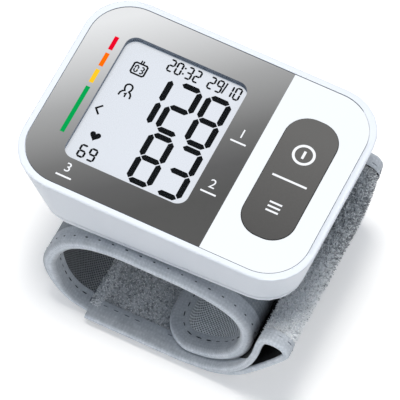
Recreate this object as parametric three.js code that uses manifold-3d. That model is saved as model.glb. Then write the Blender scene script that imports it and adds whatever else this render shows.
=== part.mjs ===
import * as THREE from 'three';
import { mergeVertices } from 'three/addons/utils/BufferGeometryUtils.js';
import Module from 'manifold-3d';

const wasm = await Module();
wasm.setup();

// Millimetres throughout. Z is up from the floor, X runs along the long side of the case, Y to its back.

// Gaps: between hard pieces, between cloth layers, and round pins and plugs.
const FIT = 0.3;
const LAYER_GAP = 0.12;
const PIN_GAP = 0.3;

// Case: face outline, wall slopes, and an underside that tilts along X. The cells lie across it.
const CELL_LENGTH = 44.5;
const CELL_R = 5.25;
const CELL_MARGIN = 17.5;
const PAD_DEPTH_CHANGE = 6.2;
const PAD_DEPTH = 2 * CELL_R + PAD_DEPTH_CHANGE;
const CASE_LENGTH = 84;
const CASE_WIDTH = CELL_LENGTH + CELL_MARGIN;
const CASE_END = CASE_LENGTH / 2;
const CASE_HALF = CASE_WIDTH / 2;
const CORNER_R = 13;
const LOW_CORNER_R = 10.5;
const LEFT_RUN = 8.5;
const RIGHT_RUN = 2.2;
const SIDE_RUN = 1.6;
const CASE_DEPTH_CHANGE = 0.4;
const CASE_DEPTH = PAD_DEPTH - CASE_DEPTH_CHANGE;
const UNDERSIDE_TILT = 0.0685;
const WALL = 1.8;
const EDGE_R = 0.5;
const RIM = 2.2;

// Rear cover: a shallow dish with a pad that the cuff hangs from and a belly below the cells.
const DISH_HEIGHT = 2;
const DISH_EDGE = 0.6;
const FLOOR = 1.4;
const LIP_HEIGHT = 2;
const LIP_WALL = 1.2;
const PAD_LEFT_INSET = 30;
const PAD_LEFT = PAD_LEFT_INSET - CASE_END;
const PAD_RIGHT_INSET = 22;
const PAD_RIGHT = CASE_END - PAD_RIGHT_INSET;
const PAD_HALF_INSET = 9;
const PAD_HALF = CASE_HALF - PAD_HALF_INSET;
const BELLY_WALL = 1;

// Face: inset panel, clear window, display glass.
const PANEL_T = 0.9;
const PANEL_SINK = 0.1;
const SHELF_T = 1;
const WINDOW_LEFT_INSET = 13;
const WINDOW_LEFT = WINDOW_LEFT_INSET - CASE_END;
const WINDOW_RIGHT_INSET = 37;
const WINDOW_RIGHT = CASE_END - WINDOW_RIGHT_INSET;
const WINDOW_HALF_INSET = 11.3;
const WINDOW_HALF = CASE_HALF - WINDOW_HALF_INSET;
const WINDOW_R = 2.5;
const PANE_T = 1;
const PANE_LAP = 1.8;
const LCD_T = 1.8;
const LCD_LAP = 2.5;
const FRAME_WALL = 1.1;

// Rocker key: a rounded bar that tips about a pin across its middle.
const KEY_X_INSET = 15.4;
const KEY_X = CASE_END - KEY_X_INSET;
const KEY_Y = -0.2;
const KEY_WIDTH = 14.6;
const KEY_LENGTH_CHANGE = 24;
const KEY_LENGTH = CASE_WIDTH - KEY_LENGTH_CHANGE;
const KEY_R = 6.5;
const KEY_PROUD = 0.25;
const KEY_HEIGHT = 3.5;
const KEY_SKIN = 1.4;
const KEY_GAP = 0.4;
const KEY_PIN_R = 0.8;
const KEY_PIN_REACH = 1.9;
const PIN_HOLE_REACH = 5;
const SADDLE_WALL = 0.9;
const FOOT_ARM_CHANGE = 8;
const FOOT_ARM = KEY_LENGTH / 2 - FOOT_ARM_CHANGE;
const FOOT_R = 1.6;

// Board, switches and the pieces soldered to it.
const BOARD_T = 1.2;
const BOARD_DROP = 1.7;
const SWITCH_SIDE = 5;
const SWITCH_HEIGHT = 2;
const PLUNGER_R = 1.1;
const PLUNGER_HEIGHT = 1.5;
const PLUNGER_PROUD = 0.6;
const CHIP_SIDE = 8;
const CHIP_HEIGHT = 1.4;
const BUZZER_R = 4.5;
const BUZZER_HEIGHT = 3.5;
const CAPACITOR_R = 2.5;
const CAPACITOR_HEIGHT = 5.2;
const SIDE_INSET = 8.2;
const PUMP_CLEARANCE = 4.5;
const SENSOR_R = 3.2;
const SENSOR_HEIGHT = 3.4;
const SENSOR_BEND = 4;
const SENSOR_X_INSET = 5.4;
const SENSOR_X = KEY_X + SENSOR_X_INSET;
const SENSOR_Y = -12.5;

// Cells: two of the slim common size, lying along Y, head to tail.
const CELL_NUB_R = 2.7;
const CELL_NUB = 1;
const CELL_PITCH = 11;
const CELL_X_INSET = 14.4;
const CELL_X = CELL_X_INSET - CASE_END;
const CELL_ROOM = 0.5;
const SPRING_LENGTH = 3.3;
const SPRING_TURNS = 3;
const SPRING_BASE_R = 3;
const SPRING_TIP_R = 1.8;
const SPRING_WIRE_R = 0.28;
const CONTACT_T = 0.5;
const COMPARTMENT_WALL = 1.1;
const DOOR_HALF_INSET = 1.35;
const DOOR_HALF = CELL_LENGTH / 2 + DOOR_HALF_INSET;
const DOOR_ARM_WIDTH = 6;
const DOOR_ARM_T = 0.8;
const DOOR_ARM_REACH = 5;

// Air side: pump, valve, joining block, tubes and the plug that leads into the cuff.
const PUMP_X_INSET = 14;
const PUMP_X = KEY_X - PUMP_X_INSET;
const PUMP_DROP_CHANGE = 6.3;
const PUMP_DROP = CASE_DEPTH - PUMP_DROP_CHANGE;
const PUMP_R_CHANGE = 0.25;
const PUMP_R = CELL_R - PUMP_R_CHANGE;
const PUMP_FRONT_INSET = 18;
const PUMP_FRONT = PUMP_FRONT_INSET - CASE_HALF;
const PUMP_SPLIT = 3.7;
const PUMP_BACK_INSET = 11;
const PUMP_BACK = CASE_HALF - PUMP_BACK_INSET;
const BARB_LENGTH = 2.4;
const TUBE_R_CHANGE = 3.55;
const TUBE_R = CELL_R - TUBE_R_CHANGE;
const TUBE_BORE_R_CHANGE = 0.5;
const TUBE_BORE_R = TUBE_R - TUBE_BORE_R_CHANGE;
const BARB_R_CHANGE = 0.25;
const BARB_R = TUBE_BORE_R - BARB_R_CHANGE;
const AIR_DROP_CHANGE = 5.7;
const AIR_DROP = CASE_DEPTH - AIR_DROP_CHANGE;
const BLOCK_X_INSET = 2.1;
const BLOCK_X = KEY_X - BLOCK_X_INSET;
const BLOCK_SIDE = 4;
const BLOCK_FRONT = -4;
const BLOCK_BACK = 6;
const BLOCK_HEIGHT = 2 * TUBE_R;
const VALVE_BACK_INSET = 5.8;
const VALVE_BACK = CASE_HALF - VALVE_BACK_INSET;
const VALVE_FRONT_INSET = 6.2;
const VALVE_FRONT = VALVE_BACK - VALVE_FRONT_INSET;
const VALVE_LEFT_INSET = 6.1;
const VALVE_LEFT = KEY_X - VALVE_LEFT_INSET;
const VALVE_RIGHT_INSET = 4.9;
const VALVE_RIGHT = KEY_X + VALVE_RIGHT_INSET;
const VALVE_RISE = 5;
const VALVE_DROP = 1.6;
const NOZZLE_X_INSET = 2.4;
const NOZZLE_X = PUMP_X + NOZZLE_X_INSET;
const NOZZLE_Y_INSET = 5.5;
const NOZZLE_Y = PUMP_FRONT - NOZZLE_Y_INSET;
const NOZZLE_R = 2;
const NOZZLE_ROOM = 6;

// Case screws.
const LEFT_SCREW_INSET = 21.2;
const LEFT_SCREW = CELL_X + LEFT_SCREW_INSET;
const LEFT_SCREW_Y_INSET = 5;
const LEFT_SCREW_Y = CASE_HALF - LEFT_SCREW_Y_INSET;
const RIGHT_SCREW_INSET = 7.5;
const RIGHT_SCREW = CASE_END - RIGHT_SCREW_INSET;
const RIGHT_SCREW_Y_INSET = 6.7;
const RIGHT_SCREW_Y = CASE_HALF - RIGHT_SCREW_Y_INSET;
const SCREWS = [
  [LEFT_SCREW, -LEFT_SCREW_Y],
  [LEFT_SCREW, LEFT_SCREW_Y],
  [RIGHT_SCREW, -RIGHT_SCREW_Y],
  [RIGHT_SCREW, RIGHT_SCREW_Y],
];
const BOSS_R = 2.4;
const SHANK_R = 1;
const HEAD_R = 2;
const HEAD_T = 1.1;
const HEAD_SINK = 0.3;
const SCREW_GRIP = 5;
const POST_R = 3;
const BOSS_DEPTH_CHANGE = 5.2;
const BOSS_DEPTH = CASE_DEPTH - BOSS_DEPTH_CHANGE;

// Cuff and strap: cloth layers rolled into a spiral whose axis lies along Y.
const CUFF_WIDTH = CASE_WIDTH + 2;
const LOOP_LEFT_INSET = 13;
const LOOP_LEFT = LOOP_LEFT_INSET - CASE_END;
const LOOP_WIDTH_CHANGE = 22.8;
const LOOP_WIDTH = CASE_LENGTH - LOOP_WIDTH_CHANGE;
const LOOP_HEIGHT = 37.25;
const FLAP_END = LOOP_LEFT + 0.5637 * LOOP_WIDTH;
const FLAP_R = 10;
const SEAM_X_INSET = 13.5;
const SEAM_X = LOOP_LEFT + SEAM_X_INSET;
const COVER_T = 0.7;
const STIFFENER_T = 0.8;
const BLADDER_T = 1;
const LINING_T = 0.64;
const BINDING = 5;
const STRAP_T = 1.8;
const STRAP_GAP = 0.25;
const FOLD_R = 2;
const FOLD_DRAW = 3.6;
const FOLD_FALL = 7.6;
const FOLD_SPLAY = 1.2;
const FOLD_STANDOFF = 2.3;
const FOLD_DROP = 27.2;
const TAIL_END_INSET = 0.7;
const TAIL_END = SEAM_X + TAIL_END_INSET;
const TAB_LENGTH = 8.2;
const FOLD_STEPS = 4;
const TAIL_SKEW = 0.036;
const STRAP_FORWARD = 2.2;
const HOOK_T = 0.8;
const HOOK_HALF_INSET = 12;
const HOOK_HALF = CUFF_WIDTH / 2 - HOOK_HALF_INSET;
const HOOK_LENGTH = 14;
const RIVET_R = 1.5;
const RIVET_LEFT = PAD_LEFT + 0.19 * (PAD_RIGHT - PAD_LEFT);
const RIVET_RIGHT = PAD_LEFT + 0.53 * (PAD_RIGHT - PAD_LEFT);
const RIVET_Y_INSET = 8;
const RIVET_Y = PAD_HALF - RIVET_Y_INSET;
const RIVETS = [
  [RIVET_LEFT, -RIVET_Y],
  [RIVET_LEFT, RIVET_Y],
  [RIVET_RIGHT, -RIVET_Y],
  [RIVET_RIGHT, RIVET_Y],
];

// Heights that follow from the sizes above.
const STRAP_TOP = 2 * STRAP_T + STRAP_GAP;
const FLAP_LOW = STRAP_TOP + FIT;
const LOOP_TOP = FLAP_LOW + LOOP_HEIGHT;
const PAD_LOW = LOOP_TOP + FIT;
const FACE_Z = PAD_LOW + PAD_DEPTH;
const PANEL_TOP = FACE_Z - PANEL_SINK;
const PANEL_LOW = PANEL_TOP - PANEL_T;
const SHELF_TOP = PANEL_LOW - FIT;
const SHELF_LOW = SHELF_TOP - SHELF_T;
const PANE_TOP = PANEL_LOW - FIT;
const LCD_TOP = Math.min(SHELF_LOW, PANE_TOP - PANE_T) - FIT;
const LCD_LOW = LCD_TOP - LCD_T;
const BOARD_TOP = LCD_LOW - BOARD_DROP;
const BOARD_LOW = BOARD_TOP - BOARD_T;
const CELL_Z = LCD_LOW - CELL_ROOM - CELL_R;
const CELL_FLOOR = CELL_Z - CELL_R - FIT;
const KEY_TOP = PANEL_TOP + KEY_PROUD;
const KEY_LOW = KEY_TOP - KEY_HEIGHT;
const PIVOT_Z = SHELF_LOW - FIT - KEY_PIN_R;
const PLUNGER_TOP = BOARD_TOP + FIT + SWITCH_HEIGHT + PLUNGER_PROUD;
const PUMP_Z = FACE_Z - PUMP_DROP;
const AIR_Z = FACE_Z - AIR_DROP;
const CUFF_T = COVER_T + STIFFENER_T + BLADDER_T + LINING_T + 3 * LAYER_GAP;
const CUFF_HALF = CUFF_WIDTH / 2;

// Geometry to solid and back.
function solidOf(geometry) {
  const bare = geometry.clone();
  bare.deleteAttribute('normal');
  bare.deleteAttribute('uv');
  const merged = mergeVertices(bare, 1e-5);
  const vertProperties = new Float32Array(merged.attributes.position.array);
  const triVerts = new Uint32Array(merged.index.array);
  return new wasm.Manifold(new wasm.Mesh({ numProp: 3, vertProperties, triVerts }));
}

function geometryOf(solid) {
  const mesh = solid.getMesh();
  const positions = new Float32Array(mesh.numVert * 3);
  for (let i = 0; i < mesh.numVert; i += 1) {
    for (let k = 0; k < 3; k += 1) {
      positions[3 * i + k] = mesh.vertProperties[mesh.numProp * i + k];
    }
  }
  const geometry = new THREE.BufferGeometry();
  geometry.setAttribute('position', new THREE.BufferAttribute(positions, 3));
  geometry.setIndex(new THREE.BufferAttribute(new Uint32Array(mesh.triVerts), 1));
  geometry.computeVertexNormals();
  return geometry;
}

function joined(solids) {
  return solids.reduce((whole, next) => whole.add(next));
}

function cut(solid, cutters) {
  return cutters.reduce((rest, next) => rest.subtract(next), solid);
}

// Plain blocks, rods and plates.
function block(x0, x1, y0, y1, z0, z1) {
  const geometry = new THREE.BoxGeometry(x1 - x0, y1 - y0, z1 - z0);
  geometry.translate((x0 + x1) / 2, (y0 + y1) / 2, (z0 + z1) / 2);
  return solidOf(geometry);
}

function rod(axis, radius, from, to, u, v, sides = 16) {
  const geometry = new THREE.CylinderGeometry(radius, radius, to - from, sides);
  const middle = (from + to) / 2;
  if (axis === 'x') {
    geometry.rotateZ(-Math.PI / 2);
    geometry.translate(middle, u, v);
  } else if (axis === 'y') {
    geometry.translate(u, middle, v);
  } else {
    geometry.rotateX(Math.PI / 2);
    geometry.translate(u, v, middle);
  }
  return solidOf(geometry);
}

function roundedShape(x0, x1, y0, y1, r) {
  const shape = new THREE.Shape();
  shape.moveTo(x0 + r, y0);
  shape.lineTo(x1 - r, y0);
  shape.absarc(x1 - r, y0 + r, r, -Math.PI / 2, 0, false);
  shape.lineTo(x1, y1 - r);
  shape.absarc(x1 - r, y1 - r, r, 0, Math.PI / 2, false);
  shape.lineTo(x0 + r, y1);
  shape.absarc(x0 + r, y1 - r, r, Math.PI / 2, Math.PI, false);
  shape.lineTo(x0, y0 + r);
  shape.absarc(x0 + r, y0 + r, r, Math.PI, 1.5 * Math.PI, false);
  return shape;
}

function plate(x0, x1, y0, y1, r, z0, z1, steps = 7) {
  const shape = roundedShape(x0, x1, y0, y1, r);
  const options = { depth: z1 - z0, bevelEnabled: false, curveSegments: steps };
  const geometry = new THREE.ExtrudeGeometry(shape, options);
  geometry.translate(0, 0, z0);
  return solidOf(geometry);
}

// Case walls: straight lines from the face outline to the outline of the tilted underside.
function outline(x0, x1, half, r, steps = 6) {
  const corners = [
    [x1 - r, half - r, 0],
    [x0 + r, half - r, 1],
    [x0 + r, r - half, 2],
    [x1 - r, r - half, 3],
  ];
  const points = [];
  for (const [cx, cy, quarter] of corners) {
    for (let i = 0; i <= steps; i += 1) {
      const angle = (quarter + i / steps) * Math.PI / 2;
      points.push([cx + r * Math.cos(angle), cy + r * Math.sin(angle)]);
    }
  }
  return points;
}

function undersideDrop(x) {
  return CASE_DEPTH - UNDERSIDE_TILT * x;
}

function caseRing(inset, depthFrom) {
  const half = CASE_LENGTH / 2;
  const top = outline(inset - half, half - inset, CASE_WIDTH / 2 - inset, CORNER_R - inset);
  const lowLeft = LEFT_RUN + inset - half;
  const lowRight = half - RIGHT_RUN - inset;
  const lowHalf = CASE_WIDTH / 2 - SIDE_RUN - inset;
  const low = outline(lowLeft, lowRight, lowHalf, LOW_CORNER_R - inset);
  return top.map((start, i) => {
    const drop = undersideDrop(low[i][0]);
    const depth = depthFrom(drop);
    const x = THREE.MathUtils.lerp(start[0], low[i][0], depth / drop);
    const y = THREE.MathUtils.lerp(start[1], low[i][1], depth / drop);
    return [x, y, FACE_Z - depth];
  });
}

function loft(rings) {
  const count = rings[0].length;
  const positions = rings.flat(2);
  const index = [];
  for (let k = 0; k + 1 < rings.length; k += 1) {
    for (let i = 0; i < count; i += 1) {
      const a = k * count + i;
      const b = k * count + (i + 1) % count;
      index.push(a, a + count, b, b, a + count, b + count);
    }
  }
  const last = (rings.length - 1) * count;
  for (let i = 1; i + 1 < count; i += 1) {
    index.push(0, i, i + 1, last, last + i + 1, last + i);
  }
  const geometry = new THREE.BufferGeometry();
  geometry.setAttribute('position', new THREE.Float32BufferAttribute(positions, 3));
  geometry.setIndex(index);
  return solidOf(geometry);
}

const wallEnd = (drop) => drop - DISH_HEIGHT - FIT;
const caseOuter = loft([
  caseRing(EDGE_R, () => 0),
  caseRing(EDGE_R * 0.3, () => EDGE_R * 0.3),
  caseRing(0, () => EDGE_R),
  caseRing(0, wallEnd),
]);
const caseInner = loft([
  caseRing(WALL, () => FACE_Z - SHELF_LOW),
  caseRing(WALL, (drop) => drop + DISH_HEIGHT),
]);

// Battery door: a piece of the slanted left wall, with two arms that spring inside the opening.
const doorTop = LCD_LOW - 1;
const doorZone = block(-CASE_LENGTH, CELL_X, -DOOR_HALF, DOOR_HALF, 0, doorTop);
const doorHole = block(-CASE_LENGTH, CELL_X, -DOOR_HALF - FIT, DOOR_HALF + FIT, 0, doorTop + FIT);
const caseWall = caseOuter.subtract(caseInner);
const doorArms = [-1, 1].map((side) => {
  const y = side * DOOR_HALF / 2;
  const depth = FACE_Z - doorTop;
  const wallX = LEFT_RUN * depth / undersideDrop(LEFT_RUN - CASE_LENGTH / 2) - CASE_LENGTH / 2;
  const z1 = doorTop - FIT;
  const half = DOOR_ARM_WIDTH / 2;
  return block(wallX + WALL / 2, wallX + DOOR_ARM_REACH, y - half, y + half, z1 - DOOR_ARM_T, z1);
});
const batteryDoor = joined([caseWall.intersect(doorZone), ...doorArms]);

// Upper case: walls, rim, shelf with its openings, screw bosses and the two pin saddles of the key.
const panelHalfX = CASE_LENGTH / 2 - RIM;
const panelHalfY = CASE_WIDTH / 2 - RIM;
const panelR = CORNER_R - RIM * 0.7;
const keyX0 = KEY_X - KEY_WIDTH / 2;
const keyX1 = KEY_X + KEY_WIDTH / 2;
const keyY0 = KEY_Y - KEY_LENGTH / 2;
const keyY1 = KEY_Y + KEY_LENGTH / 2;
const paneX0 = WINDOW_LEFT - PANE_LAP;
const paneX1 = WINDOW_RIGHT + PANE_LAP;
const paneHalf = WINDOW_HALF + PANE_LAP;

function keyHole(z0, z1) {
  return plate(keyX0 - KEY_GAP, keyX1 + KEY_GAP, keyY0 - KEY_GAP, keyY1 + KEY_GAP, KEY_R + KEY_GAP, z0, z1);
}

const recess = plate(
  -panelHalfX - FIT, panelHalfX + FIT, -panelHalfY - FIT, panelHalfY + FIT, panelR + FIT,
  SHELF_TOP, FACE_Z + 1,
);
const paneHole = plate(
  paneX0 - FIT, paneX1 + FIT, -paneHalf - FIT, paneHalf + FIT, WINDOW_R, SHELF_LOW - 1, SHELF_TOP + 1,
);
const bossLow = FACE_Z - BOSS_DEPTH;
const bosses = SCREWS.map(([x, y]) => rod('z', BOSS_R, bossLow, SHELF_LOW + 0.5, x, y));
const bossHoles = SCREWS.map(([x, y]) => rod('z', SHANK_R + FIT, bossLow - 1, SHELF_LOW - 1, x, y, 14));
const saddleLow = PIVOT_Z - KEY_PIN_R - PIN_GAP - SADDLE_WALL;
const saddleHalf = KEY_PIN_R + PIN_GAP + SADDLE_WALL;
const saddles = [[keyX0 - KEY_PIN_REACH - FIT, keyX0 - FIT], [keyX1 + FIT, keyX1 + KEY_PIN_REACH + FIT]].map(
  ([x0, x1]) => block(x0, x1, KEY_Y - saddleHalf, KEY_Y + saddleHalf, saddleLow, SHELF_LOW + 0.5),
);
const pinHoleR = KEY_PIN_R + PIN_GAP;
const pinHole = rod('x', pinHoleR, keyX0 - PIN_HOLE_REACH, keyX1 + PIN_HOLE_REACH, KEY_Y, PIVOT_Z, 16);
const upperCase = cut(
  joined([caseWall, ...bosses.map((boss) => boss.intersect(caseOuter)), ...saddles]),
  [recess, paneHole, keyHole(SHELF_LOW - 1, SHELF_TOP + 1), doorHole, pinHole, ...bossHoles],
);

// Face panel with the display and key cut-outs, then the clear window, display glass and its frame.
const windowHole = plate(
  WINDOW_LEFT, WINDOW_RIGHT, -WINDOW_HALF, WINDOW_HALF, WINDOW_R, PANEL_LOW - 1, PANEL_TOP + 1,
);
const facePanel = cut(
  plate(-panelHalfX, panelHalfX, -panelHalfY, panelHalfY, panelR, PANEL_LOW, PANEL_TOP),
  [windowHole, keyHole(PANEL_LOW - 1, PANEL_TOP + 1)],
);
const displayWindow = plate(paneX0, paneX1, -paneHalf, paneHalf, WINDOW_R, PANE_TOP - PANE_T, PANE_TOP);
const lcdX0 = WINDOW_LEFT - LCD_LAP;
const lcdX1 = WINDOW_RIGHT + LCD_LAP;
const lcdHalf = WINDOW_HALF + LCD_LAP;
const lcdGlass = block(lcdX0, lcdX1, -lcdHalf, lcdHalf, LCD_LOW, LCD_TOP);
const frameTop = SHELF_LOW - FIT;
const lcdFrame = cut(
  plate(
    lcdX0 - FIT - FRAME_WALL, lcdX1 + FIT + FRAME_WALL,
    -lcdHalf - FIT - FRAME_WALL, lcdHalf + FIT + FRAME_WALL, FRAME_WALL, LCD_LOW, frameTop, 3,
  ),
  [block(lcdX0 - FIT, lcdX1 + FIT, -lcdHalf - FIT, lcdHalf + FIT, LCD_LOW - 1, frameTop + 1)],
);

// Board: two lands joined by a bridge that runs in front of the pump.
const boardLeft = CELL_X + CELL_PITCH + CELL_R + 2 * FIT + COMPARTMENT_WALL + FIT;
const landRight = PUMP_X - PUMP_R - FIT;
const keyLand = PUMP_X + PUMP_R + 1.5;
const boardRight = keyX1 + 0.8;
const bossClear = RIGHT_SCREW - BOSS_R - 1.6;
const bossBack = BOSS_R + 2.4 - RIGHT_SCREW_Y;
const board = joined([
  block(boardLeft, landRight, -lcdHalf, lcdHalf, BOARD_LOW, BOARD_TOP),
  block(landRight - 1, keyLand + 1, -lcdHalf, PUMP_FRONT - PUMP_CLEARANCE, BOARD_LOW, BOARD_TOP),
  block(keyLand, boardRight, -lcdHalf, VALVE_FRONT - 0.5, BOARD_LOW, BOARD_TOP),
]).subtract(block(bossClear, boardRight + 1, -lcdHalf - 1, bossBack, BOARD_LOW - 1, BOARD_TOP + 1));
const stripLow = BOARD_TOP + FIT;
const stripTop = LCD_LOW - FIT;
const stripRear = block(boardLeft + 1, landRight - 1, lcdHalf - 2, lcdHalf - 0.2, stripLow, stripTop);
const stripFront = block(boardLeft + 1, landRight - 1, 0.2 - lcdHalf, 2 - lcdHalf, stripLow, stripTop);
const underBoard = BOARD_LOW - FIT;
const landMiddle = (boardLeft + landRight) / 2;
const chipHalf = CHIP_SIDE / 2;
const controllerChip = block(
  landMiddle - chipHalf, landMiddle + chipHalf, -chipHalf, chipHalf, underBoard - CHIP_HEIGHT, underBoard,
);
const sideY = lcdHalf - SIDE_INSET;
const buzzer = rod('z', BUZZER_R, underBoard - BUZZER_HEIGHT, underBoard, landMiddle, -sideY);
const capacitor = rod('z', CAPACITOR_R, underBoard - CAPACITOR_HEIGHT, underBoard, landMiddle, sideY, 16);

// Switches: a body on the board with a plunger that its foot on the key follows.
function switchBody(y) {
  const half = SWITCH_SIDE / 2;
  const low = BOARD_TOP + FIT;
  const body = block(KEY_X - half, KEY_X + half, y - half, y + half, low, low + SWITCH_HEIGHT);
  const well = PLUNGER_TOP - PLUNGER_HEIGHT - 2 * FIT;
  return body.subtract(rod('z', PLUNGER_R + FIT, well, low + SWITCH_HEIGHT + 1, KEY_X, y, 14));
}

function plunger(y) {
  return rod('z', PLUNGER_R, PLUNGER_TOP - PLUNGER_HEIGHT, PLUNGER_TOP, KEY_X, y, 14);
}

// Rocker key: a hollow bar with a foot over each switch and a pin lug at each side.
const keyBody = plate(keyX0, keyX1, keyY0, keyY1, KEY_R, KEY_LOW, KEY_TOP);
const keyPocket = plate(
  keyX0 + KEY_SKIN, keyX1 - KEY_SKIN, keyY0 + KEY_SKIN, keyY1 - KEY_SKIN, KEY_R - KEY_SKIN,
  KEY_LOW - 1, KEY_TOP - KEY_SKIN,
);
const keyFeet = [-1, 1].map(
  (side) => rod('z', FOOT_R, PLUNGER_TOP + FIT, KEY_TOP - KEY_SKIN / 2, KEY_X, KEY_Y + side * FOOT_ARM, 14),
);
const lugHalf = KEY_PIN_R + 0.8;
const keyLugs = [[keyX0, keyX0 + KEY_SKIN], [keyX1 - KEY_SKIN, keyX1]].map(
  ([x0, x1]) => block(x0, x1, KEY_Y - lugHalf, KEY_Y + lugHalf, PIVOT_Z - lugHalf, KEY_LOW + 0.5),
);
const keyPins = [[keyX0 - KEY_PIN_REACH, keyX0 + 0.5], [keyX1 - 0.5, keyX1 + KEY_PIN_REACH]].map(
  ([x0, x1]) => rod('x', KEY_PIN_R, x0, x1, KEY_Y, PIVOT_Z, 14),
);
const rockerKey = joined([keyBody.subtract(keyPocket), ...keyFeet, ...keyLugs, ...keyPins]);

// Cells with their contacts. The minus ends press on coned springs, the plus ends on flat plates.
const COMPARTMENT_HALF = (CELL_LENGTH + SPRING_LENGTH + 2 * CONTACT_T + 4 * FIT) / 2;
const springFace = COMPARTMENT_HALF - FIT - CONTACT_T;
const plusFace = springFace - FIT;
const cellTwoX = CELL_X + CELL_PITCH;

function cell(x, side) {
  const tip = side * plusFace;
  const shoulder = side * (plusFace - CELL_NUB);
  const end = side * (plusFace - CELL_LENGTH);
  const can = rod('y', CELL_R, Math.min(end, shoulder), Math.max(end, shoulder), x, CELL_Z, 24);
  const nubFrom = Math.min(tip, shoulder - side * 0.5);
  const nubTo = Math.max(tip, shoulder - side * 0.5);
  return can.add(rod('y', CELL_NUB_R, nubFrom, nubTo, x, CELL_Z, 16));
}

function coilPoints(x, side) {
  const base = springFace + CONTACT_T / 2;
  const reach = SPRING_LENGTH - FIT + CONTACT_T / 2;
  const steps = SPRING_TURNS * 8;
  const points = [];
  for (let i = 0; i <= steps; i += 1) {
    const along = i / steps;
    const angle = along * SPRING_TURNS * 2 * Math.PI;
    const radius = THREE.MathUtils.lerp(SPRING_BASE_R, SPRING_TIP_R, along);
    const y = side * (base - along * (reach - SPRING_WIRE_R));
    points.push(new THREE.Vector3(x + radius * Math.cos(angle), y, CELL_Z + radius * Math.sin(angle)));
  }
  return points;
}

function coil(x, side) {
  const path = new THREE.CatmullRomCurve3(coilPoints(x, side));
  const section = new THREE.Shape();
  section.absarc(0, 0, SPRING_WIRE_R, 0, 2 * Math.PI, false);
  const options = { steps: SPRING_TURNS * 8, curveSegments: 5, extrudePath: path, bevelEnabled: false };
  return solidOf(new THREE.ExtrudeGeometry(section, options));
}

function leastCoilGap(points) {
  let least = Infinity;
  for (let i = 0; i < points.length; i += 1) {
    for (let k = i + 6; k < points.length; k += 1) {
      least = Math.min(least, points[i].distanceTo(points[k]) - 2 * SPRING_WIRE_R);
    }
  }
  return least;
}

function contactPlate(x0, x1, side) {
  const y0 = Math.min(side * springFace, side * (springFace + CONTACT_T));
  const half = CELL_R - 2;
  return block(x0 - half, x1 + half, y0, y0 + CONTACT_T, CELL_Z - half, CELL_Z + half);
}

const cellOne = cell(CELL_X, 1);
const cellTwo = cell(cellTwoX, -1);
const springContact = contactPlate(CELL_X, CELL_X, -1).add(coil(CELL_X, -1));
const plateContact = contactPlate(cellTwoX, cellTwoX, -1);
const bridgeContact = contactPlate(CELL_X, cellTwoX, 1).add(coil(cellTwoX, 1));
console.log('least gap between spring turns', leastCoilGap(coilPoints(CELL_X, -1)).toFixed(2));

// Pump, valve, joining block, sensor and the plug into the cuff, each with a barb for its tube.
const pumpMotor = rod('y', PUMP_R, PUMP_SPLIT + FIT, PUMP_BACK, PUMP_X, PUMP_Z, 24);
const pumpHead = joined([
  rod('y', PUMP_R, PUMP_FRONT, PUMP_SPLIT, PUMP_X, PUMP_Z, 8),
  rod('x', BARB_R, PUMP_X, PUMP_X + PUMP_R + BARB_LENGTH, 0, AIR_Z, 12),
]);
const blockX0 = BLOCK_X - BLOCK_SIDE / 2;
const blockX1 = BLOCK_X + BLOCK_SIDE / 2;
const sensorBarbY = 2;
const airBlock = joined([
  block(blockX0, blockX1, BLOCK_FRONT, BLOCK_BACK, AIR_Z - BLOCK_HEIGHT / 2, AIR_Z + BLOCK_HEIGHT / 2),
  rod('x', BARB_R, blockX0 - BARB_LENGTH + FIT, BLOCK_X, 0, AIR_Z, 12),
  rod('x', BARB_R, BLOCK_X, blockX1 + BARB_LENGTH, sensorBarbY, AIR_Z, 12),
  rod('y', BARB_R, BLOCK_FRONT - BARB_LENGTH, 0, BLOCK_X, AIR_Z, 12),
  rod('y', BARB_R, 0, BLOCK_BACK + BARB_LENGTH, BLOCK_X, AIR_Z, 12),
]);
const pressureSensor = joined([
  rod('z', SENSOR_R, underBoard - SENSOR_HEIGHT, underBoard, SENSOR_X, SENSOR_Y),
  rod('y', BARB_R, SENSOR_Y, SENSOR_Y + SENSOR_R + BARB_LENGTH, SENSOR_X, AIR_Z, 12),
]);
const airValve = joined([
  block(VALVE_LEFT, VALVE_RIGHT, VALVE_FRONT, VALVE_BACK, AIR_Z - VALVE_DROP, AIR_Z + VALVE_RISE),
  rod('y', BARB_R, VALVE_FRONT - BARB_LENGTH, VALVE_FRONT + 1, BLOCK_X, AIR_Z, 12),
]);

function tube(points) {
  const path = new THREE.CatmullRomCurve3(points.map(([x, y]) => new THREE.Vector3(x, y, AIR_Z)));
  const section = new THREE.Shape();
  section.absarc(0, 0, TUBE_R, 0, 2 * Math.PI, false);
  const bore = new THREE.Path();
  bore.absarc(0, 0, TUBE_BORE_R, 0, 2 * Math.PI, true);
  section.holes.push(bore);
  const steps = points.length > 2 ? 9 : 1;
  const options = { steps, curveSegments: 8, extrudePath: path, bevelEnabled: false };
  return solidOf(new THREE.ExtrudeGeometry(section, options));
}

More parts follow.
